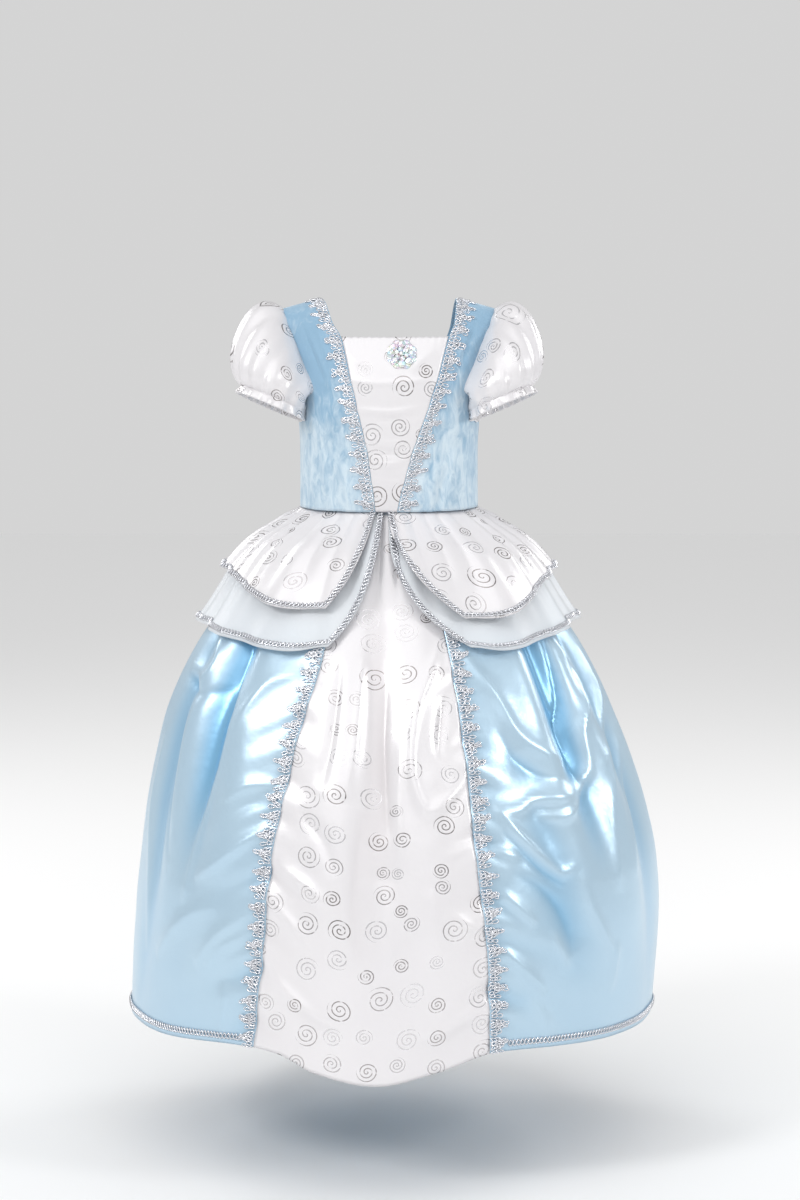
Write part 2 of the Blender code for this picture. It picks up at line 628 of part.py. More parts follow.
def hem_edging(name, points, normals, silver):
    """Narrow silver edging just above the hem of a blue panel, on the facets of its lowest strip. On a side panel
    it starts beside the braid."""
    last = points.shape[0] - 2
    start = (BRAID_WIDTH + 0.001) / np.linalg.norm(points[-1, 1] - points[-1, 0]) if "side" in name else 0.0
    columns = [start] + [c for c in range(1, points.shape[1]) if c > start + 0.1]
    strip = np.array([[on_facets(points, last + share, c) for c in columns] for share in HEM_EDGING])
    lift = np.array([[on_facets(normals, last + share, c) for c in columns] for share in HEM_EDGING])
    lift /= np.linalg.norm(lift, axis=-1, keepdims=True)
    trim(name, strip, lift, EDGING_THICK, silver)


def flounce_place(flounce, share, down):
    """Turn and height of a flounce's cloth. share runs from its front edge (0) to the centre back (1),
    down from the waist (0) to its hem (1)."""
    down = np.maximum(down, 0)
    waist_turn = flounce.waist_step * GATHER_STEP
    edge = waist_turn + (math.radians(flounce.corner_turn) - waist_turn) * down**flounce.edge_curve
    back = math.pi - SEAM_GAP / 2 / smooth(SKIRT, "half_depth", WAIST - flounce.side_drop * down)
    turn = edge + (back - edge) * share
    shorter = ease(*DROP_TURNS, np.degrees(turn))
    drop = flounce.front_drop + (flounce.side_drop - flounce.front_drop) * shorter
    rounded = CORNER_ROUND * np.exp(-((share / 0.045) ** 2)) * down**2
    return turn, WAIST - SEAM_GAP - drop * down * (1 - rounded)


def flounce_wave(flounce, turn, down):
    """Waves of a flounce, outwards only, growing towards its hem."""
    share = turn / math.pi
    uneven = 0.78 + 0.22 * np.sin(9.0 * share + 6 * flounce.phase)
    drift = share + 0.02 * np.sin(7.0 * share + 9 * flounce.phase)
    crest = 0.5 - 0.5 * np.cos(2 * math.pi * (flounce.waves * drift + flounce.phase))
    return WAVE_DEPTH * uneven * crest * np.maximum(down, 0) ** 1.3


def flounce_points(flounce, below, share, down):
    """A point of a flounce. The upper one lies over the lower one, below, as if that ran on to the front."""
    turn, height = flounce_place(flounce, share, down)
    lower = below or flounce
    fall = (WAIST - height) / (0.5 * (lower.front_drop + lower.side_drop))
    out = LOWER_STEP + LOWER_STAND * ease(0, 0.4, fall) + flounce_wave(lower, turn, fall)
    if below:
        out = out + UPPER_STEP + UPPER_STAND * ease(0, 0.5, down) + flounce_wave(flounce, turn, down)
    out = out + gather_depth(turn, height)
    return skirt_form(turn * flounce.side, height, out)


def peplum_half(flounce, below, name, rows, finish, silver):
    """Half a layer of the open overskirt, edged in silver at its front and hem."""
    columns = HALF_STEPS - flounce.waist_step
    share = np.arange(columns + 1) / columns
    edging = EDGING_WIDTH / 0.45
    share = np.concatenate([[0, edging], share[1:]])
    down, share = np.meshgrid(np.array(rows), share, indexing="ij")

    def surface(s, d):
        return flounce_points(flounce, below, s, d)

    points = surface(share, down)
    outward = points * np.array([1.0, 1.0, 0.0])
    normals = level_first_row(normals_of(surface, share, down, 0.012, 0.02, outward))
    normals[:, -1, 0] = 0
    edged = np.zeros((len(rows) - 1, points.shape[1] - 1), bool)
    edged[-1, :] = True
    edged[:, 0] = True
    cloth_panel(name, points, normals, CLOTH, finish)
    trim(f"edging_{name}", points, normals, EDGING_THICK, silver, edged)


def peplum(organza, satin, silver):
    peplum_half(LOWER_LEFT, None, "peplum_lower_left", LOWER_ROWS, organza, silver)
    peplum_half(LOWER_RIGHT, None, "peplum_lower_right", LOWER_ROWS, organza, silver)
    peplum_half(UPPER_LEFT, LOWER_LEFT, "peplum_upper_left", UPPER_ROWS, satin, silver)
    peplum_half(UPPER_RIGHT, LOWER_RIGHT, "peplum_upper_right", UPPER_ROWS, satin, silver)


def cuff_point(angle, radius_share, below, out):
    """A point of the elastic's ring: angle 0 is outermost, a quarter turn is the front."""
    across = CUFF_RADIUS[0] * radius_share * np.cos(angle)
    along = -CUFF_RADIUS[1] * radius_share * np.sin(angle)
    x = CUFF_CENTRE[0] + out + across * math.cos(CUFF_LEAN_IN) + below * math.sin(CUFF_LEAN_IN)
    y = CUFF_CENTRE[1] + along * math.cos(CUFF_LEAN_BACK) - below * math.sin(CUFF_LEAN_BACK)
    z = (
        CUFF_CENTRE[2] + across * math.sin(CUFF_LEAN_IN) - along * math.sin(CUFF_LEAN_BACK)
        - below * math.cos(CUFF_LEAN_IN)
    )
    return np.stack([x, y, z], axis=-1)


def sleeve_columns(front, back):
    """The armhole as a closed run of points from the shoulder down the front and up the back, halving each edge,
    and the angle of the cuff's ring that each point leads to."""
    loop = np.concatenate([front[::-1], back[1:-1]])
    halves = (loop + np.roll(loop, -1, axis=0)) / 2
    armhole = np.empty((2 * len(loop), 3))
    armhole[0::2], armhole[1::2] = loop, halves
    steps = np.linalg.norm(np.roll(armhole, -1, axis=0) - armhole, axis=1)
    along = np.concatenate([[0], np.cumsum(steps)[:-1]]) / steps.sum()
    return armhole, along * 2 * math.pi


def clear_of_torso(points):
    """Moves rows of points that lie beside the bodice out to its surface and, after the first rows, a little more."""
    clear = SLEEVE_CLEAR * np.clip(np.arange(1, len(points) + 1) / 4, 0, 1)[:, None]
    half_width, half_depth = TORSO[2].half_width, TORSO[2].half_depth
    reach = np.abs(points[..., 0] / half_width) ** TORSO_POWER + np.abs(points[..., 1] / half_depth) ** TORSO_POWER
    needed = np.maximum((1 + clear) / reach ** (1 / TORSO_POWER), 1)
    needed = 1 + (needed - 1) * (1 - ease(CHEST + 0.010, CHEST + 0.020, points[..., 2]))
    return points * np.stack([needed, needed, np.ones_like(needed)], axis=-1)


def sleeve_surface(armhole, angle, sign, out):
    """Points of the puff: rows from the armhole to the cuff's frill, columns round it from the shoulder."""
    top = 0.5 + 0.5 * np.cos(angle)                       # 1 at the shoulder, 0 at the underarm
    angle = angle + SLEEVE_TWIST * (1 - top)
    leave = np.stack([0.75 - 0.25 * np.sin(angle), -0.95 * np.sin(angle), 1.30 * top - 0.50], axis=-1)
    arrive = np.stack([np.cos(angle) * (0.3 + 0.7 * top), -np.sin(angle), 0.9 + 0 * angle], axis=-1)
    puff = np.stack([0.4 + 0.6 * np.cos(angle), -np.sin(angle), 0.5 * np.cos(angle)], axis=-1)
    start = armhole * np.array([sign, 1, 1]) + np.array([0.0005, 0.0, 0.0001])
    ring = cuff_point(angle, 1.0, 0.0, out)
    first = start + leave * (0.004 + 0.034 * top)[:, None]
    second = ring + arrive * (0.006 + 0.019 * top)[:, None]
    crest = np.cos(np.arange(len(angle)) * math.pi)       # a crest or a valley in each column
    rows = []
    for t in SLEEVE_ROWS:
        base = (1 - t) ** 3 * start + 3 * t * (1 - t) ** 2 * first + 3 * t * t * (1 - t) * second + t**3 * ring
        gather = SLEEVE_GATHER * math.sin(math.pi * t) ** 0.5 * top * crest
        rows.append(base + puff * gather[:, None])
    rows.append(cuff_point(angle, 1.02 + 0.025 * crest, 0.45 * CUFF_FRILL, out))
    rows.append(cuff_point(angle, 1.07 + 0.040 * crest, CUFF_FRILL, out))
    grid = np.array(rows)
    grid[1:] = clear_of_torso(grid[1:])
    return grid * np.array([sign, 1, 1])


def away_from_middle(grid):
    """Directions from the middle of each row of a tube to its points. They turn smoothly where the rows crowd
    together under the arm, so the wall doesn't cross itself there."""
    away = grid - grid.mean(axis=1, keepdims=True)
    return away / np.linalg.norm(away, axis=-1, keepdims=True)


def sleeves(armholes, satin):
    for side, sign in (("left", 1), ("right", -1)):
        front, back = armholes[side]
        armhole, angle = sleeve_columns(front, back)
        grid = sleeve_surface(armhole, angle, sign, CUFF_OUT[side])
        cloth_panel(f"sleeve_{side}", grid, away_from_middle(grid), SLEEVE_WALL, satin, closed=True)


def main():
    for obj in list(bpy.data.objects):
        bpy.data.objects.remove(obj)
    satin = finish_material("white_foil_satin", WHITE_SATIN)
    organza = finish_material("white_organza", WHITE_ORGANZA)
    blue = finish_material("blue_satin", BLUE_SATIN)
    velvet = finish_material("blue_velvet", BLUE_VELVET)
    silver = finish_material("silver_braid", SILVER)
    crystal = finish_material("crystal_sequins", CRYSTAL)
    armholes = bodice(velvet, satin, silver, crystal)
    sleeves(armholes, satin)
    skirt(satin, blue, silver)
    peplum(organza, satin, silver)


main()
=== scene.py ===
"""Princess costume dress: the pieces that show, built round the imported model.

Metres, +Z up, the front faces -Y. "left" is the wearer's left, at +X.
"""

import math
from collections import namedtuple

import bpy
import numpy as np
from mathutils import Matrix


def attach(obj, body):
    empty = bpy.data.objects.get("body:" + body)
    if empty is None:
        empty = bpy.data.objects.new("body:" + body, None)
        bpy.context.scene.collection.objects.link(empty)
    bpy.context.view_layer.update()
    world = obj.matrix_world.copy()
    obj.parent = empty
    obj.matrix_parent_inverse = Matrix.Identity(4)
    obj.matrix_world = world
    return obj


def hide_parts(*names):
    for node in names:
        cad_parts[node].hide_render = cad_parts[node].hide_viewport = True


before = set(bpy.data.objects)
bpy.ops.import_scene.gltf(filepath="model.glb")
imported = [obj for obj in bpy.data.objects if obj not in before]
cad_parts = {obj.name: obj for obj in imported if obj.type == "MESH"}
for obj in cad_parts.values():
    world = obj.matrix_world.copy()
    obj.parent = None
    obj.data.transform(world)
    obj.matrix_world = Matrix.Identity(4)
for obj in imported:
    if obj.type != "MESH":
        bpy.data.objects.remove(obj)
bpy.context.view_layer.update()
bpy.ops.object.select_all(action="DESELECT")

# Sizes of the cloth and the seams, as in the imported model
CLOTH = 0.0012
VELVET = 0.0016
ORGANZA = 0.0010
SEAM_GAP = 0.0003
WAIST = -0.199
GATHERS = 40
GATHER_STEP = math.radians(360 / GATHERS / 2)
GATHER_DEPTH = 0.0024
GATHER_LENGTH = 0.100
SIDE_TURN = math.radians(90)
MEAN_RADIUS = 0.24             # of the skirt below the overskirt

# Torso, the general form under the bodice
CHEST = -0.098
TORSO_POWER = 2.3
SHOULDER_SLOPE = 0.28
SHOULDER_INNER = 0.070
SHOULDER_TOP = 0.006

Torso = namedtuple("Torso", "level half_width half_depth")
TORSO = [
    # level -1 is the waist seam, 0 the chest line and 1 the shoulder line
    Torso(-1.0, 0.0875, 0.0755),
    Torso(-0.5, 0.0872, 0.0760),
    Torso(0.0, 0.0895, 0.0775),
    Torso(0.5, 0.1060, 0.0770),
    Torso(1.0, 0.1230, 0.0770),
]

TOP = 0.02                     # a height above the shoulder line means the shoulder line itself
SIDE = 1.0                     # an edge_out of SIDE lies on the side seam

FrontRow = namedtuple("FrontRow", "seam_height seam_out edge_height edge_out")
FRONT_ROWS = [
    # the side front: its inner edge by the stomacher and strap, its outer edge by side seam and armhole
    FrontRow(WAIST, 0.0105, WAIST, SIDE),
    FrontRow(-0.183, 0.0130, -0.183, SIDE),
    FrontRow(-0.165, 0.0167, -0.167, SIDE),
    FrontRow(-0.147, 0.0203, -0.150, SIDE),
    FrontRow(-0.129, 0.0250, -0.129, SIDE),
    FrontRow(-0.113, 0.0298, -0.108, SIDE),
    FrontRow(-0.100, 0.0337, -0.088, SIDE),
    FrontRow(-0.090, 0.0362, -0.085, 0.0785),
    FrontRow(-0.079, 0.0393, -0.080, 0.0735),
    FrontRow(-0.067, 0.0428, -0.071, 0.0765),
    FrontRow(-0.054, 0.0458, -0.060, 0.0820),
    FrontRow(-0.041, 0.0490, -0.048, 0.0870),
    FrontRow(-0.029, 0.0525, -0.034, 0.0925),
    FrontRow(-0.014, 0.0600, -0.018, 0.1000),
    FrontRow(TOP, 0.0670, TOP, 0.1060),
]
ARMHOLE_ROW_FRONT = 6
NECK_ROW_FRONT = 12

Turn = namedtuple("Turn", "height shift")
BODICE_TURN = [Turn(WAIST, -0.0025), Turn(-0.029, 0.0060), Turn(0.006, 0.0)]

BackRow = namedtuple("BackRow", "neck_height neck_out edge_height edge_out")
BACK_ROWS = [
    BackRow(WAIST, 0.0450, WAIST, SIDE),
    BackRow(-0.174, 0.0460, -0.175, SIDE),
    BackRow(-0.150, 0.0475, -0.150, SIDE),
    BackRow(-0.126, 0.0490, -0.126, SIDE),
    BackRow(-0.104, 0.0500, -0.088, SIDE),
    BackRow(-0.092, 0.0508, -0.085, 0.0825),
    BackRow(-0.079, 0.0515, -0.079, 0.0795),
    BackRow(-0.066, 0.0525, -0.070, 0.0815),
    BackRow(-0.052, 0.0540, -0.058, 0.0860),
    BackRow(-0.037, 0.0570, -0.042, 0.0920),
    BackRow(-0.020, 0.0620, -0.024, 0.0990),
    BackRow(TOP, 0.0670, TOP, 0.1060),
]
ARMHOLE_ROW_BACK = 4
NECK_ROW_BACK = 9
CREST = 0.22                   # roundness of a crease's crest, as a share of its width
FINE = 6                       # fine rows to one row of these tables

Skirt = namedtuple("Skirt", "height half_width half_depth shift")
SKIRT = [
    # the bell's half sizes, and how far its middle lies to +X
    Skirt(WAIST, 0.0805, 0.0685, 0.0000),
    Skirt(-0.212, 0.0945, 0.0815, 0.0000),
    Skirt(-0.232, 0.1180, 0.1020, 0.0000),
    Skirt(-0.262, 0.1430, 0.1240, 0.0000),
    Skirt(-0.300, 0.1660, 0.1430, 0.0000),
    Skirt(-0.336, 0.1890, 0.1640, 0.0000),
    Skirt(-0.397, 0.2170, 0.1920, 0.0005),
    Skirt(-0.448, 0.2335, 0.2100, 0.0040),
    Skirt(-0.500, 0.2470, 0.2250, 0.0072),
    Skirt(-0.552, 0.2565, 0.2360, 0.0095),
    Skirt(-0.603, 0.2620, 0.2430, 0.0085),
    Skirt(-0.656, 0.2640, 0.2470, 0.0055),
    Skirt(-0.730, 0.2645, 0.2490, 0.0010),
]

FrontSeam = namedtuple("FrontSeam", "height centre spread")
FRONT_SEAM = [
    # the white panel's middle and half width, in degrees round the skirt
    FrontSeam(WAIST, 0.0, 18.0),
    FrontSeam(-0.330, -0.7, 18.9),
    FrontSeam(-0.400, -2.1, 20.6),
    FrontSeam(-0.445, -3.5, 21.5),
    FrontSeam(-0.540, -5.6, 23.1),
    FrontSeam(-0.629, -4.9, 24.2),
    FrontSeam(-0.730, -4.5, 25.6),
]

Hem = namedtuple("Hem", "turn height")
HEM = [
    Hem(-180, -0.712), Hem(-95, -0.712), Hem(-60, -0.708), Hem(-31, -0.699),
    Hem(-24, -0.703), Hem(-16, -0.718), Hem(-3, -0.729), Hem(10, -0.716),
    Hem(23, -0.700), Hem(55, -0.707), Hem(95, -0.712), Hem(180, -0.712),
]

Fold = namedtuple("Fold", "turn width depth drift top foot")
FOLDS = [
    # a ridge (depth above 0) or a trough (below 0): degrees round, metres, and the heights
    # between which it shows
    Fold(-49, 6.0, -0.016, -5, -0.27, -0.56),
    Fold(-59, 7.0, 0.006, -4, -0.30, -0.60),
    Fold(-38, 8.0, 0.007, -6, -0.28, -0.70),
    Fold(-70, 6.0, -0.007, -3, -0.28, -0.74),
    Fold(50, 6.0, -0.017, 2, -0.27, -0.55),
    Fold(41, 7.0, 0.007, 4, -0.28, -0.60),
    Fold(61, 7.0, 0.006, 3, -0.30, -0.66),
    Fold(72, 6.0, -0.006, 5, -0.28, -0.74),
    Fold(34, 6.0, -0.006, 10, -0.42, -0.66),
    Fold(-12, 6.0, 0.006, -3, -0.26, -0.74),
    Fold(-3, 5.0, -0.006, -2, -0.26, -0.62),
    Fold(8, 6.0, 0.006, 1, -0.26, -0.70),
    Fold(-90, 7.0, 0.006, -3, -0.30, -0.76),
    Fold(-108, 7.0, -0.010, 2, -0.27, -0.74),
    Fold(-126, 7.0, 0.008, 3, -0.28, -0.76),
    Fold(-144, 7.0, -0.012, -2, -0.27, -0.68),
    Fold(-162, 7.0, 0.008, 2, -0.28, -0.76),
    Fold(179, 7.0, -0.011, 0, -0.27, -0.76),
    Fold(161, 7.0, 0.008, -3, -0.28, -0.74),
    Fold(143, 7.0, -0.012, 2, -0.27, -0.70),
    Fold(125, 7.0, 0.008, 2, -0.28, -0.76),
    Fold(107, 7.0, -0.010, -3, -0.27, -0.76),
    Fold(89, 7.0, 0.006, 2, -0.30, -0.76),
]

Crease = namedtuple("Crease", "width depth path")
FRONT_CREASES = [
    # a ridge (depth above 0) or a trough in the skirt's front half: millimetres, and a path of
    # (across, up) as it is seen from straight in front
    Crease(7, -5.0, [(-140, -299), (-146, -341), (-156, -364), (-158, -400)]),
    Crease(6, 3.6, [(-132, -315), (-140, -350), (-149, -392), (-159, -429), (-173, -466), (-191, -525),
                    (-200, -575)]),
    Crease(9, 4.5, [(-158, -300), (-165, -341), (-180, -361), (-204, -356)]),
    Crease(7, -3.2, [(-210, -362), (-185, -377), (-160, -372)]),
    Crease(9, 3.6, [(-82, -346), (-110, -355), (-129, -375), (-152, -410)]),
    Crease(6, 3.0, [(-98, -450), (-129, -452), (-156, -470)]),
    Crease(7, -2.2, [(-104, -466), (-130, -470), (-158, -492)]),
    Crease(7, 4.2, [(-110, -485), (-143, -511), (-162, -528), (-188, -549)]),
    Crease(8, 3.4, [(-128, -568), (-162, -596), (-186, -630)]),
    Crease(6, 2.6, [(-130, -590), (-156, -607), (-176, -628)]),
    Crease(9, 3.2, [(-160, -566), (-190, -582), (-212, -605), (-230, -634)]),
    Crease(9, 2.6, [(-156, -640), (-162, -700)]),
    Crease(12, 3.4, [(-226, -420), (-236, -480), (-241, -560), (-244, -640)]),
    Crease(9, -3.0, [(-204, -400), (-214, -470), (-216, -540)]),
    Crease(11, 4.6, [(58, -312), (87, -348), (106, -375), (122, -403), (147, -423), (176, -436)]),
    Crease(9, -3.0, [(104, -400), (122, -428), (150, -446), (176, -452)]),
    Crease(5, -5.5, [(144, -305), (163, -347), (174, -384), (175, -417), (188, -458)]),
    Crease(7, 4.6, [(156, -320), (180, -356), (189, -384), (189, -412), (196, -440), (187, -468)]),
    Crease(6, 4.2, [(200, -444), (187, -468), (167, -485), (142, -481)]),
    Crease(8, 4.6, [(100, -474), (123, -474), (142, -466), (170, -466), (192, -456)]),
    Crease(5, 4.4, [(98, -466), (133, -505), (153, -525), (170, -538), (182, -531)]),
    Crease(4, -3.0, [(108, -490), (130, -514), (152, -536), (172, -550)]),
    Crease(5, 3.2, [(98, -508), (110, -512), (126, -518)]),
    Crease(6, 3.8, [(106, -548), (120, -560), (142, -582)]),
    Crease(6, 3.8, [(108, -600), (122, -616), (150, -648)]),
    Crease(10, -3.2, [(114, -528), (148, -550), (170, -579), (180, -615)]),
    Crease(6, 2.2, [(158, -590), (175, -630)]),
    Crease(8, 3.0, [(184, -538), (197, -576), (222, -632)]),
    Crease(9, 3.4, [(213, -430), (217, -497), (224, -565)]),
    Crease(8, 2.6, [(230, -430), (237, -497), (240, -556)]),
    Crease(6, 2.4, [(224, -614), (215, -664)]),
    Crease(9, 3.6, [(192, -336), (208, -375), (215, -412), (206, -446)]),
    Crease(7, -4.2, [(163, -305), (175, -344), (188, -382)]),
    Crease(8, 2.4, [(134, -650), (150, -675), (156, -705)]),
    Crease(8, -5.0, [(-44, -335), (-53, -401), (-64, -450)]),
    Crease(8, 4.6, [(-24, -330), (-30, -400), (-40, -460)]),
    Crease(6, 5.0, [(50, -315), (26, -379), (22, -434), (38, -470), (60, -455), (82, -430)]),
    Crease(6, -4.6, [(52, -370), (47, -422)]),
    Crease(6, 3.6, [(12, -400), (10, -475), (13, -525)]),
    Crease(7, -3.0, [(-2, -350), (-4, -430), (-2, -500)]),
    Crease(8, 3.6, [(-106, -525), (-72, -545), (-56, -562)]),
    Crease(7, 3.2, [(-117, -555), (-94, -575), (-72, -600)]),
    Crease(9, 3.8, [(-122, -608), (-91, -647), (-45, -676)]),
    Crease(9, 3.2, [(30, -684), (66, -669), (92, -645)]),
    Crease(5, 2.6, [(84, -500), (52, -513)]),
    Crease(6, 2.6, [(88, -585), (54, -563)]),
    Crease(10, -3.0, [(-27, -470), (-34, -560), (-28, -620)]),
    Crease(9, 2.6, [(-5, -535), (3, -625)]),
    Crease(8, 2.4, [(40, -540), (48, -610)]),
    Crease(7, -2.6, [(-86, -470), (-60, -500), (-50, -530)]),
]
BACK_CREASES = [
    # the same in the back half: millimetres, and a path of (degrees round from the front, height in mm)
    Crease(9, 4.2, [(98, -350), (104, -430), (112, -520), (114, -610)]),
    Crease(8, 3.8, [(122, -400), (116, -480), (108, -560), (106, -680)]),
    Crease(8, -3.6, [(118, -330), (124, -420), (122, -520)]),
    Crease(8, 4.4, [(133, -330), (140, -420), (150, -500), (152, -590)]),
    Crease(7, 3.6, [(158, -430), (152, -540), (146, -690)]),
    Crease(6, 3.2, [(128, -560), (140, -590), (150, -640)]),
    Crease(8, 4.2, [(170, -330), (176, -430), (188, -540), (190, -620)]),
    Crease(7, -3.4, [(182, -350), (180, -450), (172, -560)]),
    Crease(7, 3.6, [(202, -390), (194, -500), (190, -690)]),
    Crease(8, 4.2, [(210, -330), (218, -430), (226, -510), (228, -600)]),
    Crease(6, 3.2, [(206, -560), (214, -600), (226, -660)]),
    Crease(8, 4.0, [(242, -400), (236, -500), (230, -690)]),
    Crease(8, -3.4, [(234, -330), (240, -430), (238, -520)]),
    Crease(8, 4.0, [(254, -340), (258, -430), (264, -520), (266, -610)]),
    Crease(6, 3.0, [(248, -560), (256, -600), (262, -660)]),
]

Flounce = namedtuple("Flounce", "side waist_step corner_turn edge_curve front_drop side_drop waves phase")
LOWER_LEFT = Flounce(1, 0, 25.0, 2.3, 0.130, 0.114, 6.0, 0.35)
LOWER_RIGHT = Flounce(-1, 1, 18.0, 2.4, 0.128, 0.116, 6.0, 0.40)
UPPER_LEFT = Flounce(1, 0, 24.0, 1.5, 0.101, 0.061, 5.5, 0.10)
UPPER_RIGHT = Flounce(-1, 2, 20.0, 1.9, 0.090, 0.060, 5.5, 0.15)
DROP_TURNS = (20.0, 85.0)
WAVE_DEPTH = 0.011
CORNER_ROUND = 0.05
LOWER_STEP = 0.0026
UPPER_STEP = 0.0044
LOWER_STAND = 0.0050
UPPER_STAND = 0.0045
FLUTE_DEPTH = 0.0028
PLEAT_DEPTH = 0.0042

# Puff sleeve
CUFF_CENTRE = (0.1080, -0.038, -0.0900)
CUFF_RADIUS = (0.0330, 0.0350)
CUFF_OUT = {"left": 0.0015, "right": 0.006}
CUFF_LEAN_IN = math.radians(23.0)
CUFF_LEAN_BACK = math.radians(8.0)
CUFF_FRILL = 0.009
SLEEVE_WALL = 0.0014
SLEEVE_TWIST = 0.55
SLEEVE_ROWS = [0.0, 0.10, 0.26, 0.46, 0.66, 0.84, 1.0]
SLEEVE_CLEAR = 0.036
SLEEVE_COLUMNS = 160
SLEEVE_GATHERS = 19
PUFF_ROWS = 44
PUFF_GATHER = 0.0030           # depth of the puff's small gathers
PUFF_SWELL = 0.0016            # depth of the broad swells under them
LEAVE_PULL = (0.004, 0.034)    # how far the cloth runs on from the armhole, and how much more on top
ARRIVE_PULL = (0.006, 0.019)   # the same at the elastic
FRILL_ROWS = 8
FRILL_FLARE = 0.07             # the frill's spread and its waves, as shares of the cuff's radius
FRILL_WAVE = 0.050
ABOVE_CHEST = (0.010, 0.020)   # heights over which the bodice no longer pushes the sleeve out
SLEEVE_CUT_WIDTH = 0.30

# Trims
SKIRT_SCALLOP = 0.0185
BODICE_SCALLOP = 0.0165
WIRE = 0.00062                 # radius of the braid's silver yarn
BRAID_LIFT = 0.0009            # least height of the yarn's middle above the cloth
BRAID_REACH = (0.0006, 0.03)   # nearest and furthest a loop lies from the seam
LOOP_POINTS = 12
LOOP_FULLNESS = 0.62
LEAN_SPREAD = 13               # degrees by which a loop's lean varies
LENGTH_SPREAD = (0.82, 1.12)
SKIRT_BRAID_START = 0.118      # below the waist seam
EDGING_WIDTH = 0.0068
EDGING_PITCH = 0.0084
EDGING_SWING = 0.42            # the yarn's swing to each side, as a share of the edging's width
EDGING_WIRE = 0.0008
EDGING_LIFT = (0.0012, 0.0006)  # mean height of the yarn above the cloth, and its rise and fall
HEM_EDGING_UP = 0.0078         # middle of the hem edging above the hem
HEM_EDGING_START = 0.019       # it starts beside the braid

ROSETTE_BELOW_NECK = 0.0175
ROSETTE_SHIFT = 0.003

SATIN_ROUGHNESS = 0.30
SPIRAL_SPACING = 0.0315
SPIRAL_RADIUS = (0.0055, 0.0085)   # the smallest, and what the largest has more
SPIRAL_TURNS = 2.6
SPIRAL_LINE = (0.00028, 0.00070)   # from the foil line's middle: where it starts to fade, and is gone


def colour(value):
    """An sRGB hex colour as linear values with full alpha."""
    parts = [int(value[i:i + 2], 16) / 255 for i in (0, 2, 4)]
    linear = [p / 12.92 if p <= 0.04045 else ((p + 0.055) / 1.055) ** 2.4 for p in parts]
    return (*linear, 1.0)


def curve_through(x, y, at):
    """A curve through points with no overshoot."""
    x, y = np.asarray(x, float), np.asarray(y, float)
    step = np.diff(x)
    rise = np.diff(y) / step
    slope = np.zeros(len(x))
    slope[0], slope[-1] = rise[0], rise[-1]
    for i in range(1, len(x) - 1):
        if rise[i - 1] * rise[i] > 0:
            before, after = 2 * step[i] + step[i - 1], step[i] + 2 * step[i - 1]
            slope[i] = (before + after) / (before / rise[i - 1] + after / rise[i])
    at = np.clip(np.asarray(at, float), x[0], x[-1])
    i = np.clip(np.searchsorted(x, at, side="right") - 1, 0, len(step) - 1)
    t = (at - x[i]) / step[i]
    return (
        (1 + 2 * t) * (1 - t) ** 2 * y[i]
        + t * (1 - t) ** 2 * step[i] * slope[i]
        + t * t * (3 - 2 * t) * y[i + 1]
        + t * t * (t - 1) * step[i] * slope[i + 1]
    )


def smooth(table, column, at):
    """A column of a table read at any value of its first column."""
    known = sorted((row[0], getattr(row, column)) for row in table)
    return curve_through([k[0] for k in known], [k[1] for k in known], at)


def ease(low, high, at):
    """0 at low, 1 at high and beyond, and an S-curve between."""
    t = np.clip((np.asarray(at, float) - low) / (high - low), 0, 1)
    return t * t * (3 - 2 * t)


def grid_normals(points, closed=False):
    """Unit normals at the points of a grid, pointing away from the dress's upright axis."""
    if closed:
        across = np.roll(points, -1, axis=1) - np.roll(points, 1, axis=1)
    else:
        across = np.gradient(points, axis=1)
    down = np.gradient(points, axis=0)
    normal = np.cross(down, across)
    normal /= np.maximum(np.linalg.norm(normal, axis=-1, keepdims=True), 1e-12)
    return normal


def lengths_along(points, axis):
    """Distance along a grid's rows or columns from the first point."""
    steps = np.linalg.norm(np.diff(points, axis=axis), axis=-1)
    total = np.cumsum(steps, axis=axis)
    return np.concatenate([np.zeros_like(np.take(total, [0], axis=axis)), total], axis=axis)


def add_mesh(name, vertices, faces, material, smooth_faces=True):
    """A new object at the origin with its place in its mesh."""
    data = bpy.data.meshes.new(name)
    data.from_pydata(np.asarray(vertices).reshape(-1, 3).tolist(), [], faces)
    data.update()
    if smooth_faces:
        data.shade_smooth()
    made = bpy.data.objects.new(name, data)
    bpy.context.scene.collection.objects.link(made)
    data.materials.append(material)
    return made


def cloth(name, points, pattern, thickness, material, closed=False, painted_fold_shade=None):
    """A thin wall of cloth on a grid of points. pattern gives each point's place on the flat cloth,
    in metres, and the last argument how deep each point lies in a fold, from 0 to 1, which sets how much
    painted fold shade its colour gets."""
    rows, columns = points.shape[:2]
    across = columns if closed else columns - 1
    i, j = np.meshgrid(np.arange(rows - 1), np.arange(across), indexing="ij")
    i, j = i.ravel(), j.ravel()
    right = (j + 1) % columns
    above, below = i * columns, (i + 1) * columns
    quads = np.stack([above + j, below + j, below + right, above + right], axis=1)
    made = add_mesh(name, points, quads.tolist(), material)
    flat = np.stack([pattern[i, j], pattern[i + 1, j], pattern[i + 1, j + 1], pattern[i, j + 1]], axis=1)
    layer = made.data.uv_layers.new(name="flat_cloth")
    layer.data.foreach_set("uv", flat.reshape(-1).astype(np.float32))
    # the fold depth is stored on the cloth for the material, which paints shade into the folds
    if painted_fold_shade is not None:
        depth = made.data.attributes.new("painted_fold_shade", "FLOAT", "POINT")
        depth.data.foreach_set("value", painted_fold_shade.reshape(-1).astype(np.float32))
    wall = made.modifiers.new("wall", "SOLIDIFY")
    wall.thickness = thickness
    wall.offset = -1
    return made


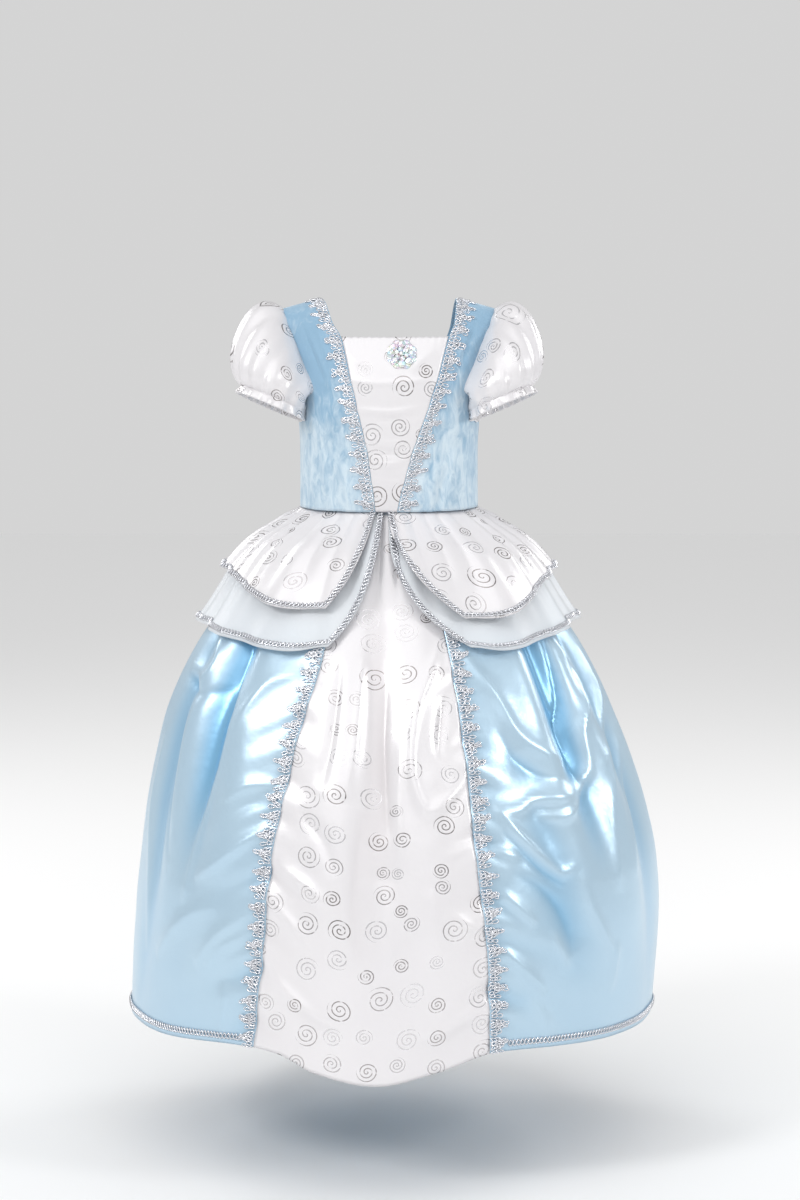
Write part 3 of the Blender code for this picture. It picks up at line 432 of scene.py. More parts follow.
def wires(name, paths, ups, radius, material, closed=True, sides=5):
    """Round wires along many paths of the same number of points, as one mesh."""
    count, length = paths.shape[:2]
    if closed:
        tangent = np.roll(paths, -1, axis=1) - np.roll(paths, 1, axis=1)
    else:
        tangent = np.gradient(paths, axis=1)
    tangent /= np.maximum(np.linalg.norm(tangent, axis=-1, keepdims=True), 1e-12)
    side = np.cross(tangent, ups)
    side /= np.maximum(np.linalg.norm(side, axis=-1, keepdims=True), 1e-12)
    up = np.cross(side, tangent)
    turn = np.arange(sides) * 2 * math.pi / sides
    ring = np.cos(turn)[:, None] * side[:, :, None] + np.sin(turn)[:, None] * up[:, :, None]
    vertices = (paths[:, :, None] + radius * ring).reshape(-1, 3)
    spans = length if closed else length - 1
    w, i, s = np.meshgrid(np.arange(count), np.arange(spans), np.arange(sides), indexing="ij")
    w, i, s = w.ravel(), i.ravel(), s.ravel()
    base, following, beside = w * length * sides, (i + 1) % length, (s + 1) % sides
    quads = np.stack([
        base + i * sides + s, base + following * sides + s,
        base + following * sides + beside, base + i * sides + beside,
    ], axis=1).tolist()
    if not closed:
        for wire in range(count):
            first = wire * length * sides
            last = first + (length - 1) * sides
            quads.append([first + k for k in range(sides)])
            quads.append([last + k for k in reversed(range(sides))])
    return add_mesh(name, vertices, quads, material)


class Surface:
    """A grid of points read by distance: along its first column, and across from that column."""

    def __init__(self, points, normals):
        self.points, self.normals = points, normals
        self.along = lengths_along(points[:, :1], 0)[:, 0]
        self.across = lengths_along(points, 1)

    def at(self, along, across, up):
        """The point at a place on the surface, up from it, and the surface's normal there."""
        row = np.interp(along, self.along, np.arange(len(self.along)))
        low = np.minimum(row.astype(int), len(self.along) - 2)
        share = (row - low)[:, None]
        reach = self.across[low]
        beyond = (reach[:, 1:-1] <= np.asarray(across)[:, None]).sum(1)
        pick = np.arange(len(low))
        span = np.maximum(reach[pick, beyond + 1] - reach[pick, beyond], 1e-9)
        over = (across - reach[pick, beyond]) / span
        over = over[:, None]

        def read(grid):
            near = grid[low, beyond] * (1 - over) + grid[low, beyond + 1] * over
            far = grid[low + 1, beyond] * (1 - over) + grid[low + 1, beyond + 1] * over
            return near * (1 - share) + far * share

        normal = read(self.normals)
        normal /= np.linalg.norm(normal, axis=-1, keepdims=True)
        return read(self.points) + normal * np.asarray(up)[:, None], normal


def new_material(name):
    material = bpy.data.materials.new(name)
    material.use_nodes = True
    return material, material.node_tree.nodes["Principled BSDF"]


def node(material, kind, inputs, **settings):
    """Adds a node. inputs gives each socket, by name or number, a value or the output linked to it."""
    made = material.node_tree.nodes.new(kind)
    for name, value in settings.items():
        setattr(made, name, value)
    for socket, value in inputs.items():
        if isinstance(value, bpy.types.NodeSocket):
            material.node_tree.links.new(value, made.inputs[socket])
        else:
            made.inputs[socket].default_value = value
    return made


def link(material, output, shader, socket):
    material.node_tree.links.new(output, shader.inputs[socket])


def maths(material, operation, first, second=0.0, third=0.0):
    inputs = {0: first, 1: second, 2: third}
    return node(material, "ShaderNodeMath", inputs, operation=operation).outputs[0]


def satin(name, base, shade, fold_shade_colour, lustre, foil):
    """Polyester satin: long floats of bright yarn give it a soft, broad gloss, and in a fold its colour is
    painted deeper towards the third colour, a painted shade. foil prints it with spirals."""
    material, shader = new_material(name)
    place = node(material, "ShaderNodeTexCoord", {})
    cloudy = node(material, "ShaderNodeTexNoise", {
        "Vector": place.outputs["Object"], "Scale": 9.0, "Detail": 2.0})
    mixed = node(material, "ShaderNodeMix", {
        "Factor": cloudy.outputs["Fac"], 6: colour(base), 7: colour(shade)}, data_type="RGBA")
    # painted shade: the colour deepens where the stored fold depth is high
    painted_fold_shade = node(material, "ShaderNodeAttribute", {}, attribute_name="painted_fold_shade")
    fold_shaded = node(material, "ShaderNodeMix", {
        "Factor": painted_fold_shade.outputs["Fac"], 6: mixed.outputs[2], 7: colour(fold_shade_colour)}, data_type="RGBA")
    shader.inputs["Roughness"].default_value = SATIN_ROUGHNESS
    shader.inputs["Metallic"].default_value = lustre
    shader.inputs["Specular IOR Level"].default_value = 0.7
    rumple = node(material, "ShaderNodeTexNoise", {
        "Vector": place.outputs["Object"], "Scale": 38.0, "Detail": 3.0, "Roughness": 0.5})
    bump = node(material, "ShaderNodeBump", {
        "Height": rumple.outputs["Fac"], "Strength": 0.30, "Distance": 0.002})
    if foil:
        mask, foil_reflection_tone = spirals(material, place.outputs["UV"])
        # painted reflection: each spiral's foil is coloured from dark grey-brown to bright silver, as it
        # would reflect
        silver = node(material, "ShaderNodeMix", {
            "Factor": foil_reflection_tone, 6: colour("8C8583"), 7: colour("E2E1E4")}, data_type="RGBA")
        painted = node(material, "ShaderNodeMix", {
            "Factor": mask, 6: fold_shaded.outputs[2], 7: silver.outputs[2]}, data_type="RGBA")
        link(material, painted.outputs[2], shader, "Base Color")
        link(material, maths(material, "MULTIPLY_ADD", mask, 0.75 - lustre, lustre), shader, "Metallic")
        link(material, maths(material, "MULTIPLY_ADD", mask, -0.08, SATIN_ROUGHNESS), shader, "Roughness")
    else:
        link(material, fold_shaded.outputs[2], shader, "Base Color")
    link(material, bump.outputs["Normal"], shader, "Normal")
    return material


def spirals(material, flat):
    """A mask of thin spirals scattered over the flat cloth, each with its own size, start and hand,
    and a random tone for each, a painted reflection from dark to bright foil. The line fades in patches, a
    painted reflection of white. The foil line is about 1 mm wide."""
    settings = {"Vector": flat, "Scale": 1 / SPIRAL_SPACING, "Randomness": 0.68}
    cells = node(material, "ShaderNodeTexVoronoi", settings, voronoi_dimensions="2D", feature="F1")
    room = node(
        material, "ShaderNodeTexVoronoi", settings, voronoi_dimensions="2D", feature="N_SPHERE_RADIUS")
    tones = node(material, "ShaderNodeSeparateColor", {0: cells.outputs["Color"]})
    away = node(
        material, "ShaderNodeVectorMath", {0: flat, 1: cells.outputs["Position"]}, operation="SUBTRACT")
    parts = node(material, "ShaderNodeSeparateXYZ", {0: away.outputs[0]})
    length = node(material, "ShaderNodeVectorMath", {0: away.outputs[0]}, operation="LENGTH")
    distance = length.outputs["Value"]
    angle = maths(material, "ARCTAN2", parts.outputs[1], parts.outputs[0])
    hand = maths(material, "SIGN", maths(material, "SUBTRACT", tones.outputs[1], 0.5))
    turned = maths(material, "MULTIPLY", maths(material, "DIVIDE", angle, 2 * math.pi), hand)
    turned = maths(material, "ADD", turned, tones.outputs[2])
    wanted = maths(material, "MULTIPLY_ADD", tones.outputs[0], SPIRAL_RADIUS[1], SPIRAL_RADIUS[0])
    free = maths(material, "MULTIPLY", room.outputs["Radius"], SPIRAL_SPACING * 0.94)
    radius = maths(material, "MINIMUM", wanted, free)
    pitch = maths(material, "DIVIDE", radius, SPIRAL_TURNS)
    phase = maths(material, "SUBTRACT", maths(material, "DIVIDE", distance, pitch), turned)
    from_line = maths(material, "MULTIPLY", maths(material, "PINGPONG", phase, 0.5), pitch)
    line = node(material, "ShaderNodeMapRange", {
        "Value": from_line, "From Min": SPIRAL_LINE[0], "From Max": SPIRAL_LINE[1],
        "To Min": 1.0, "To Max": 0.0},
        interpolation_type="SMOOTHSTEP").outputs[0]
    inside = maths(material, "LESS_THAN", distance, radius)
    # painted reflection of white: the foil line fades in patches where it would catch the light
    painted_white_reflection = node(material, "ShaderNodeTexNoise", {"Vector": flat, "Scale": 160.0, "Detail": 2.0})
    kept = node(material, "ShaderNodeMapRange", {
        "Value": painted_white_reflection.outputs["Fac"], "From Min": 0.36, "From Max": 0.46,
        "To Min": 0.25, "To Max": 1.0}).outputs[0]
    mask = maths(material, "MULTIPLY", maths(material, "MULTIPLY", line, inside), kept)
    return mask, tones.outputs[2]


def organza(name):
    """Plain organza: a sheer, crisp weave. The layers below tint it faintly blue."""
    material, shader = new_material(name)
    place = node(material, "ShaderNodeTexCoord", {})
    cloudy = node(material, "ShaderNodeTexNoise", {
        "Vector": place.outputs["Object"], "Scale": 14.0, "Detail": 2.0})
    mixed = node(material, "ShaderNodeMix", {
        "Factor": cloudy.outputs["Fac"], 6: colour("F1F3F6"), 7: colour("E6EDF3")}, data_type="RGBA")
    link(material, mixed.outputs[2], shader, "Base Color")
    shader.inputs["Roughness"].default_value = 0.42
    shader.inputs["Alpha"].default_value = 0.72
    shader.inputs["Sheen Weight"].default_value = 0.25
    rumple = node(material, "ShaderNodeTexNoise", {
        "Vector": place.outputs["Object"], "Scale": 60.0, "Detail": 3.0, "Roughness": 0.5})
    bump = node(material, "ShaderNodeBump", {
        "Height": rumple.outputs["Fac"], "Strength": 0.4, "Distance": 0.0015})
    link(material, bump.outputs["Normal"], shader, "Normal")
    return material


def velvet(name):
    """Crushed stretch velvet: the pile lies in patches, and their sheen, pale where the pile faces the light
    and deep beside, is painted into the colour.
    """
    material, shader = new_material(name)
    place = node(material, "ShaderNodeTexCoord", {})
    stretched = node(material, "ShaderNodeMapping", {
        "Vector": place.outputs["Object"], "Scale": (1.0, 1.0, 0.40)})
    patches = node(material, "ShaderNodeTexNoise", {
        "Vector": stretched.outputs[0], "Scale": 130.0, "Detail": 5.0, "Roughness": 0.6, "Distortion": 0.8})
    broad = node(material, "ShaderNodeTexNoise", {
        "Vector": stretched.outputs[0], "Scale": 24.0, "Detail": 3.0})
    both = maths(material, "MULTIPLY_ADD", broad.outputs["Fac"], 0.42, maths(
        material, "MULTIPLY", patches.outputs["Fac"], 0.62))
    height = node(material, "ShaderNodeSeparateXYZ", {0: place.outputs["Object"]}).outputs[2]
    lower = node(material, "ShaderNodeMapRange", {
        "Value": height, "From Min": -0.04, "From Max": -0.13, "To Min": -0.15, "To Max": 0.06}).outputs[0]
    share = node(material, "ShaderNodeMapRange", {
        "Value": maths(material, "ADD", both, lower), "From Min": 0.36, "From Max": 0.70},
        interpolation_type="SMOOTHSTEP").outputs[0]
    # painted sheen in patches: pale where the pile would face the light, deep beside; the colour is also
    # made paler lower down
    mixed = node(material, "ShaderNodeMix", {
        "Factor": share, 6: colour("8AAEC8"), 7: colour("CFDFE9")}, data_type="RGBA")
    link(material, mixed.outputs[2], shader, "Base Color")
    shader.inputs["Roughness"].default_value = 0.62
    shader.inputs["Sheen Weight"].default_value = 0.7
    shader.inputs["Sheen Roughness"].default_value = 0.45
    shader.inputs["Sheen Tint"].default_value = colour("DDE9F1")
    bump = node(material, "ShaderNodeBump", {
        "Height": patches.outputs["Fac"], "Strength": 0.5, "Distance": 0.0012})
    link(material, bump.outputs["Normal"], shader, "Normal")
    return material


def silver_yarn(name):
    """Metallised yarn: flat silver film wound round a core, so it glitters in short bright runs, painted
    into its colour as tiny glints.
    """
    material, shader = new_material(name)
    place = node(material, "ShaderNodeTexCoord", {})
    glitter = node(material, "ShaderNodeTexNoise", {
        "Vector": place.outputs["Object"], "Scale": 900.0, "Detail": 1.0})
    # painted glints: tiny spots of the yarn's colour made near white
    mixed = node(material, "ShaderNodeMix", {
        "Factor": glitter.outputs["Fac"], 6: colour("BDC0C9"), 7: colour("FCFCFE")}, data_type="RGBA")
    link(material, mixed.outputs[2], shader, "Base Color")
    shader.inputs["Metallic"].default_value = 0.75
    shader.inputs["Roughness"].default_value = 0.24
    bump = node(material, "ShaderNodeBump", {
        "Height": glitter.outputs["Fac"], "Strength": 0.6, "Distance": 0.0004})
    link(material, bump.outputs["Normal"], shader, "Normal")
    return material


def crystal(name):
    """Iridescent moulded sequins: a clear plastic with a thin film that shows pastel colours, painted in as
    a random pastel reflection on each small facet.
    """
    material, shader = new_material(name)
    place = node(material, "ShaderNodeTexCoord", {})
    facets = node(material, "ShaderNodeTexVoronoi", {"Vector": place.outputs["Object"], "Scale": 420.0})
    # painted iridescent reflection: a random pastel colour to each facet
    painted_iridescence = node(material, "ShaderNodeMix", {
        "Factor": 0.75, 6: facets.outputs["Color"], 7: colour("E8EEF5")}, data_type="RGBA")
    link(material, painted_iridescence.outputs[2], shader, "Base Color")
    shader.inputs["Metallic"].default_value = 0.45
    shader.inputs["Roughness"].default_value = 0.12
    shader.inputs["Coat Weight"].default_value = 0.6
    bump = node(material, "ShaderNodeBump", {
        "Height": facets.outputs["Distance"], "Strength": 0.6, "Distance": 0.001})
    link(material, bump.outputs["Normal"], shader, "Normal")
    return material


# the third colour of each satin is the painted shade in its folds
WHITE_SATIN = satin("white_foil_printed_satin", "E6E4E6", "DEDCDF", "C9C4C6", 0.08, True)
BLUE_SATIN = satin("light_blue_satin", "BDD5E4", "B2CEE2", "7FB6DA", 0.32, False)
WHITE_ORGANZA = organza("white_organza")
BLUE_VELVET = velvet("light_blue_crushed_velvet")
SILVER = silver_yarn("silver_metallised_yarn")
CRYSTAL = crystal("iridescent_sequins")


def shoulder_line(x):
    return SHOULDER_TOP - SHOULDER_SLOPE * np.maximum(np.abs(x) - SHOULDER_INNER, 0)


def torso(out, level):
    """A point of the bodice's form. out runs from the front centre (0) through the side (1) to the
    back (2)."""
    half_width = smooth(TORSO, "half_width", level)
    half_depth = smooth(TORSO, "half_depth", level)
    half_depth = half_depth * np.where(level > 0, np.cos(level * math.pi / 2), 1.0)
    angle = out * math.pi / 2
    bend = 2 / TORSO_POWER
    x = half_width * np.sign(np.sin(angle)) * np.abs(np.sin(angle)) ** bend
    y = -half_depth * np.sign(np.cos(angle)) * np.abs(np.cos(angle)) ** bend
    rise = (shoulder_line(x) - CHEST) * np.sin(level * math.pi / 2)
    z = CHEST + np.where(level > 0, rise, level * (CHEST - WAIST))
    return np.stack([x, y, z], axis=-1)


def level_at(x, height):
    if height <= CHEST:
        return (height - CHEST) / (CHEST - WAIST)
    share = (height - CHEST) / (shoulder_line(x) - CHEST)
    return math.asin(min(share, 1.0)) / (math.pi / 2) * 0.999


def out_at(x, level):
    half_width = smooth(TORSO, "half_width", level)
    share = np.clip(np.abs(x) / half_width, 0, 1)
    return np.sign(x) * np.arcsin(share ** (TORSO_POWER / 2)) / (math.pi / 2)


def fine_rows(values):
    """The rows of a table's edge read FINE times as closely."""
    at = np.arange((len(values) - 1) * FINE + 1) / FINE
    return curve_through(np.arange(len(values)), values, at)


def panel_places(rows, columns, inner_gap, sign, back):
    """Places (out, level) of a side front or half a back panel, from its inner edge to its outer edge."""
    edges = []
    for inner_height, inner_out, edge_height, edge_out in rows:
        if not back:
            inner_out = inner_out + sign * smooth(BODICE_TURN, "shift", inner_height) + inner_gap
        inner_level = level_at(inner_out, inner_height)
        edge_level = level_at(edge_out if edge_out < SIDE else 0.0, edge_height)
        inner = out_at(inner_out, inner_level)
        if edge_out == SIDE:
            edge = 1 - SEAM_GAP / 2 / smooth(TORSO, "half_depth", edge_level) / (math.pi / 2)
        else:
            edge = out_at(edge_out, edge_level)
        edges.append((inner, inner_level, edge, edge_level))
    inner, inner_level, edge, edge_level = (
        fine_rows([float(e[k]) for e in edges])[:, None] for k in range(4))
    share = np.linspace(0, 1, columns + 1)
    out = inner + (edge - inner) * share
    level = inner_level + (edge_level - inner_level) * share
    if back:
        out = 2 - out
    return out * sign, level


def raised(out, level, depth):
    """The torso's surface with creases of a given depth on it, and its normals."""
    base = torso(out, level)
    normals = grid_normals(base)
    middle = base * np.array([1.0, 1.0, 0.0]) + np.array([0.0, 0.0, 0.02])
    side = np.sign((normals * middle).sum(-1, keepdims=True))
    points = base + normals * side * depth(base)[..., None]
    normals = grid_normals(points) * side
    return points, normals


def path_depth(x, z, creases):
    """Depth of creases at places (x, z). Each crease is sharpest along its path, fades to both sides
    and runs out at its ends."""
    total = np.zeros(np.broadcast(x, z).shape)
    for crease in creases:
        corners = np.array(crease.path, float)
        at = np.linspace(0, len(corners) - 1, 5 * (len(corners) - 1) + 1)
        count = np.arange(len(corners))
        path = np.stack([curve_through(count, corners[:, k], at) for k in (0, 1)], axis=-1)
        reach = 4 * crease.width
        low, high = path.min(0) - reach, path.max(0) + reach
        if x.max() < low[0] or x.min() > high[0] or z.max() < low[1] or z.min() > high[1]:
            continue
        run = lengths_along(path[:, None], 0)[:, 0]
        nearest = np.full(total.shape, 1e9)
        along = np.zeros(total.shape)
        for k in range(len(path) - 1):
            step = path[k + 1] - path[k]
            t = np.clip(((x - path[k, 0]) * step[0] + (z - path[k, 1]) * step[1]) / (step @ step), 0, 1)
            away = np.hypot(x - path[k, 0] - t * step[0], z - path[k, 1] - t * step[1])
            closer = away < nearest
            nearest = np.where(closer, away, nearest)
            along = np.where(closer, (run[k] + t * (run[k + 1] - run[k])) / run[-1], along)
        shown = np.sin(math.pi * along) ** 0.6
        beside = nearest / crease.width
        total += crease.depth * shown * np.exp(-1.5 * (np.sqrt(beside**2 + CREST**2) - CREST))
    return total


STOMACHER_CREASES = [
    # soft wrinkles across the white centre, millimetres across and up
    Crease(3.5, 1.2, [(-46, -68), (-10, -73), (46, -70)]),
    Crease(4.0, 1.6, [(-38, -98), (0, -101), (38, -95)]),
    Crease(3.5, -1.2, [(-34, -106), (0, -108), (34, -104)]),
    Crease(3.5, 1.6, [(-34, -126), (4, -132), (30, -129)]),
    Crease(3.5, -1.5, [(-30, -138), (0, -141), (28, -137)]),
    Crease(3.5, 1.7, [(-26, -150), (0, -153), (26, -147)]),
    Crease(3.0, 1.4, [(-20, -167), (4, -171), (20, -165)]),
    Crease(4.0, 1.0, [(-44, -40), (-30, -52), (-16, -58)]),
    Crease(4.0, 1.0, [(44, -42), (30, -52), (22, -62)]),
    Crease(3.0, 1.0, [(-12, -180), (0, -184), (10, -181)]),
]
VELVET_CREASES = [
    # soft upright creases in the velvet, millimetres out from the middle and up
    Crease(3.5, 2.0, [(38, -201), (41, -180), (47, -150)]),
    Crease(3.5, -1.7, [(47, -201), (50, -180), (56, -155)]),
    Crease(3.5, 1.9, [(57, -201), (60, -175), (64, -140)]),
    Crease(3.5, 1.6, [(70, -201), (71, -185), (73, -160)]),
    Crease(3.0, 1.4, [(28, -201), (30, -188), (34, -170)]),
    Crease(3.0, -1.4, [(78, -201), (78, -180), (77, -155)]),
    Crease(6.0, -1.5, [(44, -110), (54, -130), (58, -152)]),
    Crease(5.0, 1.6, [(52, -88), (60, -110), (68, -132)]),
    Crease(4.0, 1.6, [(56, -80), (66, -52), (78, -26)]),
    Crease(4.0, -1.5, [(62, -72), (74, -44), (86, -16)]),
    Crease(4.0, 1.2, [(56, -58), (66, -30), (74, -8)]),
    Crease(4.0, 1.2, [(70, -96), (80, -112), (84, -128)]),
]


def in_metres(creases):
    """A table of creases in millimetres as metres."""
    return [Crease(c.width / 1000, c.depth / 1000, np.array(c.path) / 1000) for c in creases]


def slots_and_place(piece, nodes):
    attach(piece, "root")
    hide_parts(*nodes)


def velvet_creases(points):
    return path_depth(np.abs(points[..., 0]), points[..., 2], in_metres(VELVET_CREASES))


def side_front(side, sign):
    """A velvet side front with its strap. Returns its armhole edge and the surface beside its seam."""
    out, level = panel_places(FRONT_ROWS, 36, SEAM_GAP / 2, sign, False)
    points, normals = raised(out, level, velvet_creases)
    shown = points[:, ::sign]
    flat = shown[..., [0, 2]]
    piece = cloth(f"velvet_front_{side}", shown, flat, VELVET, BLUE_VELVET)
    slots_and_place(piece, [f"bodice_front_{side}"])
    return points[ARMHOLE_ROW_FRONT * FINE:, -1], Surface(points, normals)


def velvet_back():
    """The back, one grid below its neckline and one for each strap. Returns its two armhole edges."""
    out, level = panel_places(BACK_ROWS, 24, 0.0, 1, True)
    out, level = out[:, ::-1], level[:, ::-1]
    below = NECK_ROW_BACK * FINE + 1
    middle = np.linspace(0, 1, 41)[1:-1]
    inner = out[:below, -1:]
    body_out = np.concatenate([out[:below], inner + 2 * (2 - inner) * middle, 4 - out[:below, ::-1]], axis=1)
    body_level = np.concatenate(
        [level[:below], np.repeat(level[:below, -1:], len(middle), axis=1), level[:below, ::-1]], axis=1)
    body, _ = raised(body_out, body_level, velvet_creases)
    left, _ = raised(out[below - 1:], level[below - 1:], velvet_creases)
    right, _ = raised(4 - out[below - 1:, ::-1], level[below - 1:, ::-1], velvet_creases)
    left[0] = body[-1, : left.shape[1]]
    right[0] = body[-1, -right.shape[1]:]
    piece = joined_cloth("velvet_back", [body, left, right], VELVET, BLUE_VELVET)
    slots_and_place(piece, ["bodice_back"])
    first = ARMHOLE_ROW_BACK * FINE
    return {
        "left": np.concatenate([body[first:, 0], left[1:, 0]]),
        "right": np.concatenate([body[first:, -1], right[1:, -1]]),
    }


def bodice():
    """Velvet side fronts and back, and the white stomacher. Returns each armhole's front and back
    edges, and the surfaces that carry the trims."""
    fronts = {side: side_front(side, sign) for side, sign in (("left", 1), ("right", -1))}
    backs = velvet_back()
    armholes = {side: [fronts[side][0], backs[side]] for side in fronts}
    beside_seam = {side: fronts[side][1] for side in fronts}
    return armholes, beside_seam, *stomacher()


def joined_cloth(name, grids, thickness, material):
    """One wall of cloth from several grids whose touching points are merged."""
    vertices, quads, first = [], [], 0
    for points in grids:
        rows, columns = points.shape[:2]
        i, j = np.meshgrid(np.arange(rows - 1), np.arange(columns - 1), indexing="ij")
        i, j = i.ravel(), j.ravel()
        corners = [i * columns + j, (i + 1) * columns + j, (i + 1) * columns + j + 1, i * columns + j + 1]
        quads.append(np.stack(corners, axis=1) + first)
        vertices.append(points.reshape(-1, 3))
        first += rows * columns
    vertices = np.concatenate(vertices)
    quads = np.concatenate(quads)
    made = add_mesh(name, vertices, quads.tolist(), material)
    layer = made.data.uv_layers.new(name="flat_cloth")
    flat = vertices[quads.reshape(-1)][:, [0, 2]]
    layer.data.foreach_set("uv", flat.reshape(-1).astype(np.float32))
    weld = made.modifiers.new("weld", "WELD")
    weld.merge_threshold = 0.00005
    wall = made.modifiers.new("wall", "SOLIDIFY")
    wall.thickness = thickness
    wall.offset = -1
    return made


def stomacher():
    columns = 40
    share = np.linspace(-1, 1, columns + 1)
    lefts, rights, levels = [], [], []
    for row in FRONT_ROWS[: NECK_ROW_FRONT + 1]:
        shift = smooth(BODICE_TURN, "shift", row.seam_height)
        at = level_at(row.seam_out, row.seam_height)
        levels.append(at)
        lefts.append(float(out_at(row.seam_out + shift - SEAM_GAP / 2, at)))
        rights.append(float(out_at(-(row.seam_out - shift - SEAM_GAP / 2), at)))
    left, right, level = (fine_rows(v)[:, None] for v in (lefts, rights, levels))
    out = (left + right) / 2 + (left - right) / 2 * share
    level = np.repeat(level, columns + 1, axis=1)

    def creased(points):
        return path_depth(points[..., 0], points[..., 2], in_metres(STOMACHER_CREASES))

    points, normals = raised(out, level, creased)
    edge = ease(0.9, 1.0, np.linspace(0, 1, len(points)))[:, None]
    points[..., 2] += edge * 0.0006 * np.sin(points[..., 0] * 900)
    flat = np.stack([points[..., 0], points[..., 2]], axis=-1)
    piece = cloth("stomacher", points, flat, VELVET, WHITE_SATIN)
    slots_and_place(piece, ["bodice_front_centre"])
    return points, normals


def fold_depth(turn, height):
    total = np.zeros(np.broadcast(turn, height).shape)
    for fold in FOLDS:
        down = np.clip((fold.top - height) / (fold.top - fold.foot), 0, 1)
        middle = fold.turn + fold.drift * down
        away = (np.degrees(turn) - middle + 180) % 360 - 180
        shown = np.sin(math.pi * down**0.7)
        total += fold.depth * shown * np.exp(-((away / fold.width) ** 2))
    return total


def gather_depth(turn, height):
    """Gathers below the waist seam: uneven round crests, narrow valleys between, that run out
    downwards."""
    down = WAIST - height
    fade = (0.35 + 0.65 * ease(0, 0.012, down)) * (1 - ease(0.015, GATHER_LENGTH, down))
    uneven = 0.75 + 0.25 * np.sin(5 * turn + 0.6) + 0.2 * np.sin(11 * turn + 2.0)
    wander = GATHERS * turn + 0.9 * np.sin(7 * turn) + 0.5 * np.sin(13 * turn + 1.0)
    crest = np.abs(np.cos(wander / 2)) ** 0.8 * 2 - 1
    return GATHER_DEPTH * uneven * fade * crest


def skirt_form(turn, height, out=0.0):
    half_width = smooth(SKIRT, "half_width", height) + out
    half_depth = smooth(SKIRT, "half_depth", height) + out
    x = smooth(SKIRT, "shift", height) + half_width * np.sin(turn)
    return np.stack([x, -half_depth * np.cos(turn), height + 0 * turn], axis=-1)


def seam_turn(height, sign):
    return np.radians(smooth(FRONT_SEAM, "centre", height) + sign * smooth(FRONT_SEAM, "spread", height))


def crease_depth(turn, height):
    """The skirt's creases, with each path laid round the bell at its mean radius."""
    creases = []
    for crease in in_metres(FRONT_CREASES):
        across, up = crease.path[:, 0], crease.path[:, 1]
        share = (across - smooth(SKIRT, "shift", up)) / smooth(SKIRT, "half_width", up)
        path = np.stack([np.arcsin(np.clip(share, -0.99, 0.99)) * MEAN_RADIUS, up], axis=-1)
        creases.append(crease._replace(path=path))
    for crease in in_metres(BACK_CREASES):
        path = np.stack([np.radians(crease.path[:, 0] * 1000) * MEAN_RADIUS, crease.path[:, 1]], axis=-1)
        creases.append(crease._replace(path=path))
    round_skirt = np.where(turn < math.radians(-92), turn + 2 * math.pi, turn)
    return path_depth(round_skirt * MEAN_RADIUS, height, creases)


Ripple = namedtuple("Ripple", "length share phase")
RIPPLES = [
    # three ripples of different length that together make the puckers uneven
    Ripple(0.047, 0.55, 1.0),
    Ripple(0.029, 0.30, 2.7),
    Ripple(0.083, 0.25, 1.3),
]
PUCKER_DEPTH = 0.0030
PUCKER_REACH = (0.030, 0.016)  # from the seam: over the blue cloth and over the white


def pucker_depth(turn, height):
    """Small ripples away from the two front seams, where the braid's stitching draws the cloth in."""
    total = np.zeros(np.broadcast(turn, height).shape)
    for sign, phase in ((-1, 0.4), (1, 2.1)):
        away = (turn - seam_turn(height, sign)) * MEAN_RADIUS
        outside = np.where(away * sign > 0, 1.0, 0.55)
        reach = np.where(away * sign > 0, *PUCKER_REACH)
        slanted = height + 0.45 * np.abs(away)
        ripple = sum(r.share * np.sin(2 * math.pi * slanted / r.length + r.phase * phase) for r in RIPPLES)
        shown = ease(-0.30, -0.36, height) * (1 - 0.5 * ease(-0.64, -0.70, height))
        total += PUCKER_DEPTH * shown * ripple * np.exp(-np.abs(away) / reach) * (0.55 + 0.45 * outside)
    return total


def skirt_points(turn, height):
    """The skirt's surface, and how deep each point lies in a fold, which sets its painted shade."""
    creases = crease_depth(turn, height) + pucker_depth(turn, height)
    folds = fold_depth(turn, height)
    # share of painted shade in the folds, from their depth
    painted_fold_shade = ease(0.002, -0.012, folds + 1.6 * creases)
    return skirt_form(turn, height, folds + gather_depth(turn, height) + creases), painted_fold_shade


def hem_height(turn):
    return smooth(HEM, "height", np.degrees((turn + math.pi) % (2 * math.pi) - math.pi))


def skirt_panel(start, end, columns, rows=136):
    """A skirt panel's points from the waist seam to the hem, between two edges given by height."""
    share = np.linspace(0, 1, columns + 1)
    down = np.linspace(0, 1, rows + 1)[:, None]
    guess = WAIST + (-0.712 - WAIST) * down
    for _ in range(2):
        turn = start(guess) + (end(guess) - start(guess)) * share
        height = WAIST - SEAM_GAP + (hem_height(turn[-1]) - WAIST) * down
        guess = height.mean(axis=1, keepdims=True)
    return turn, height


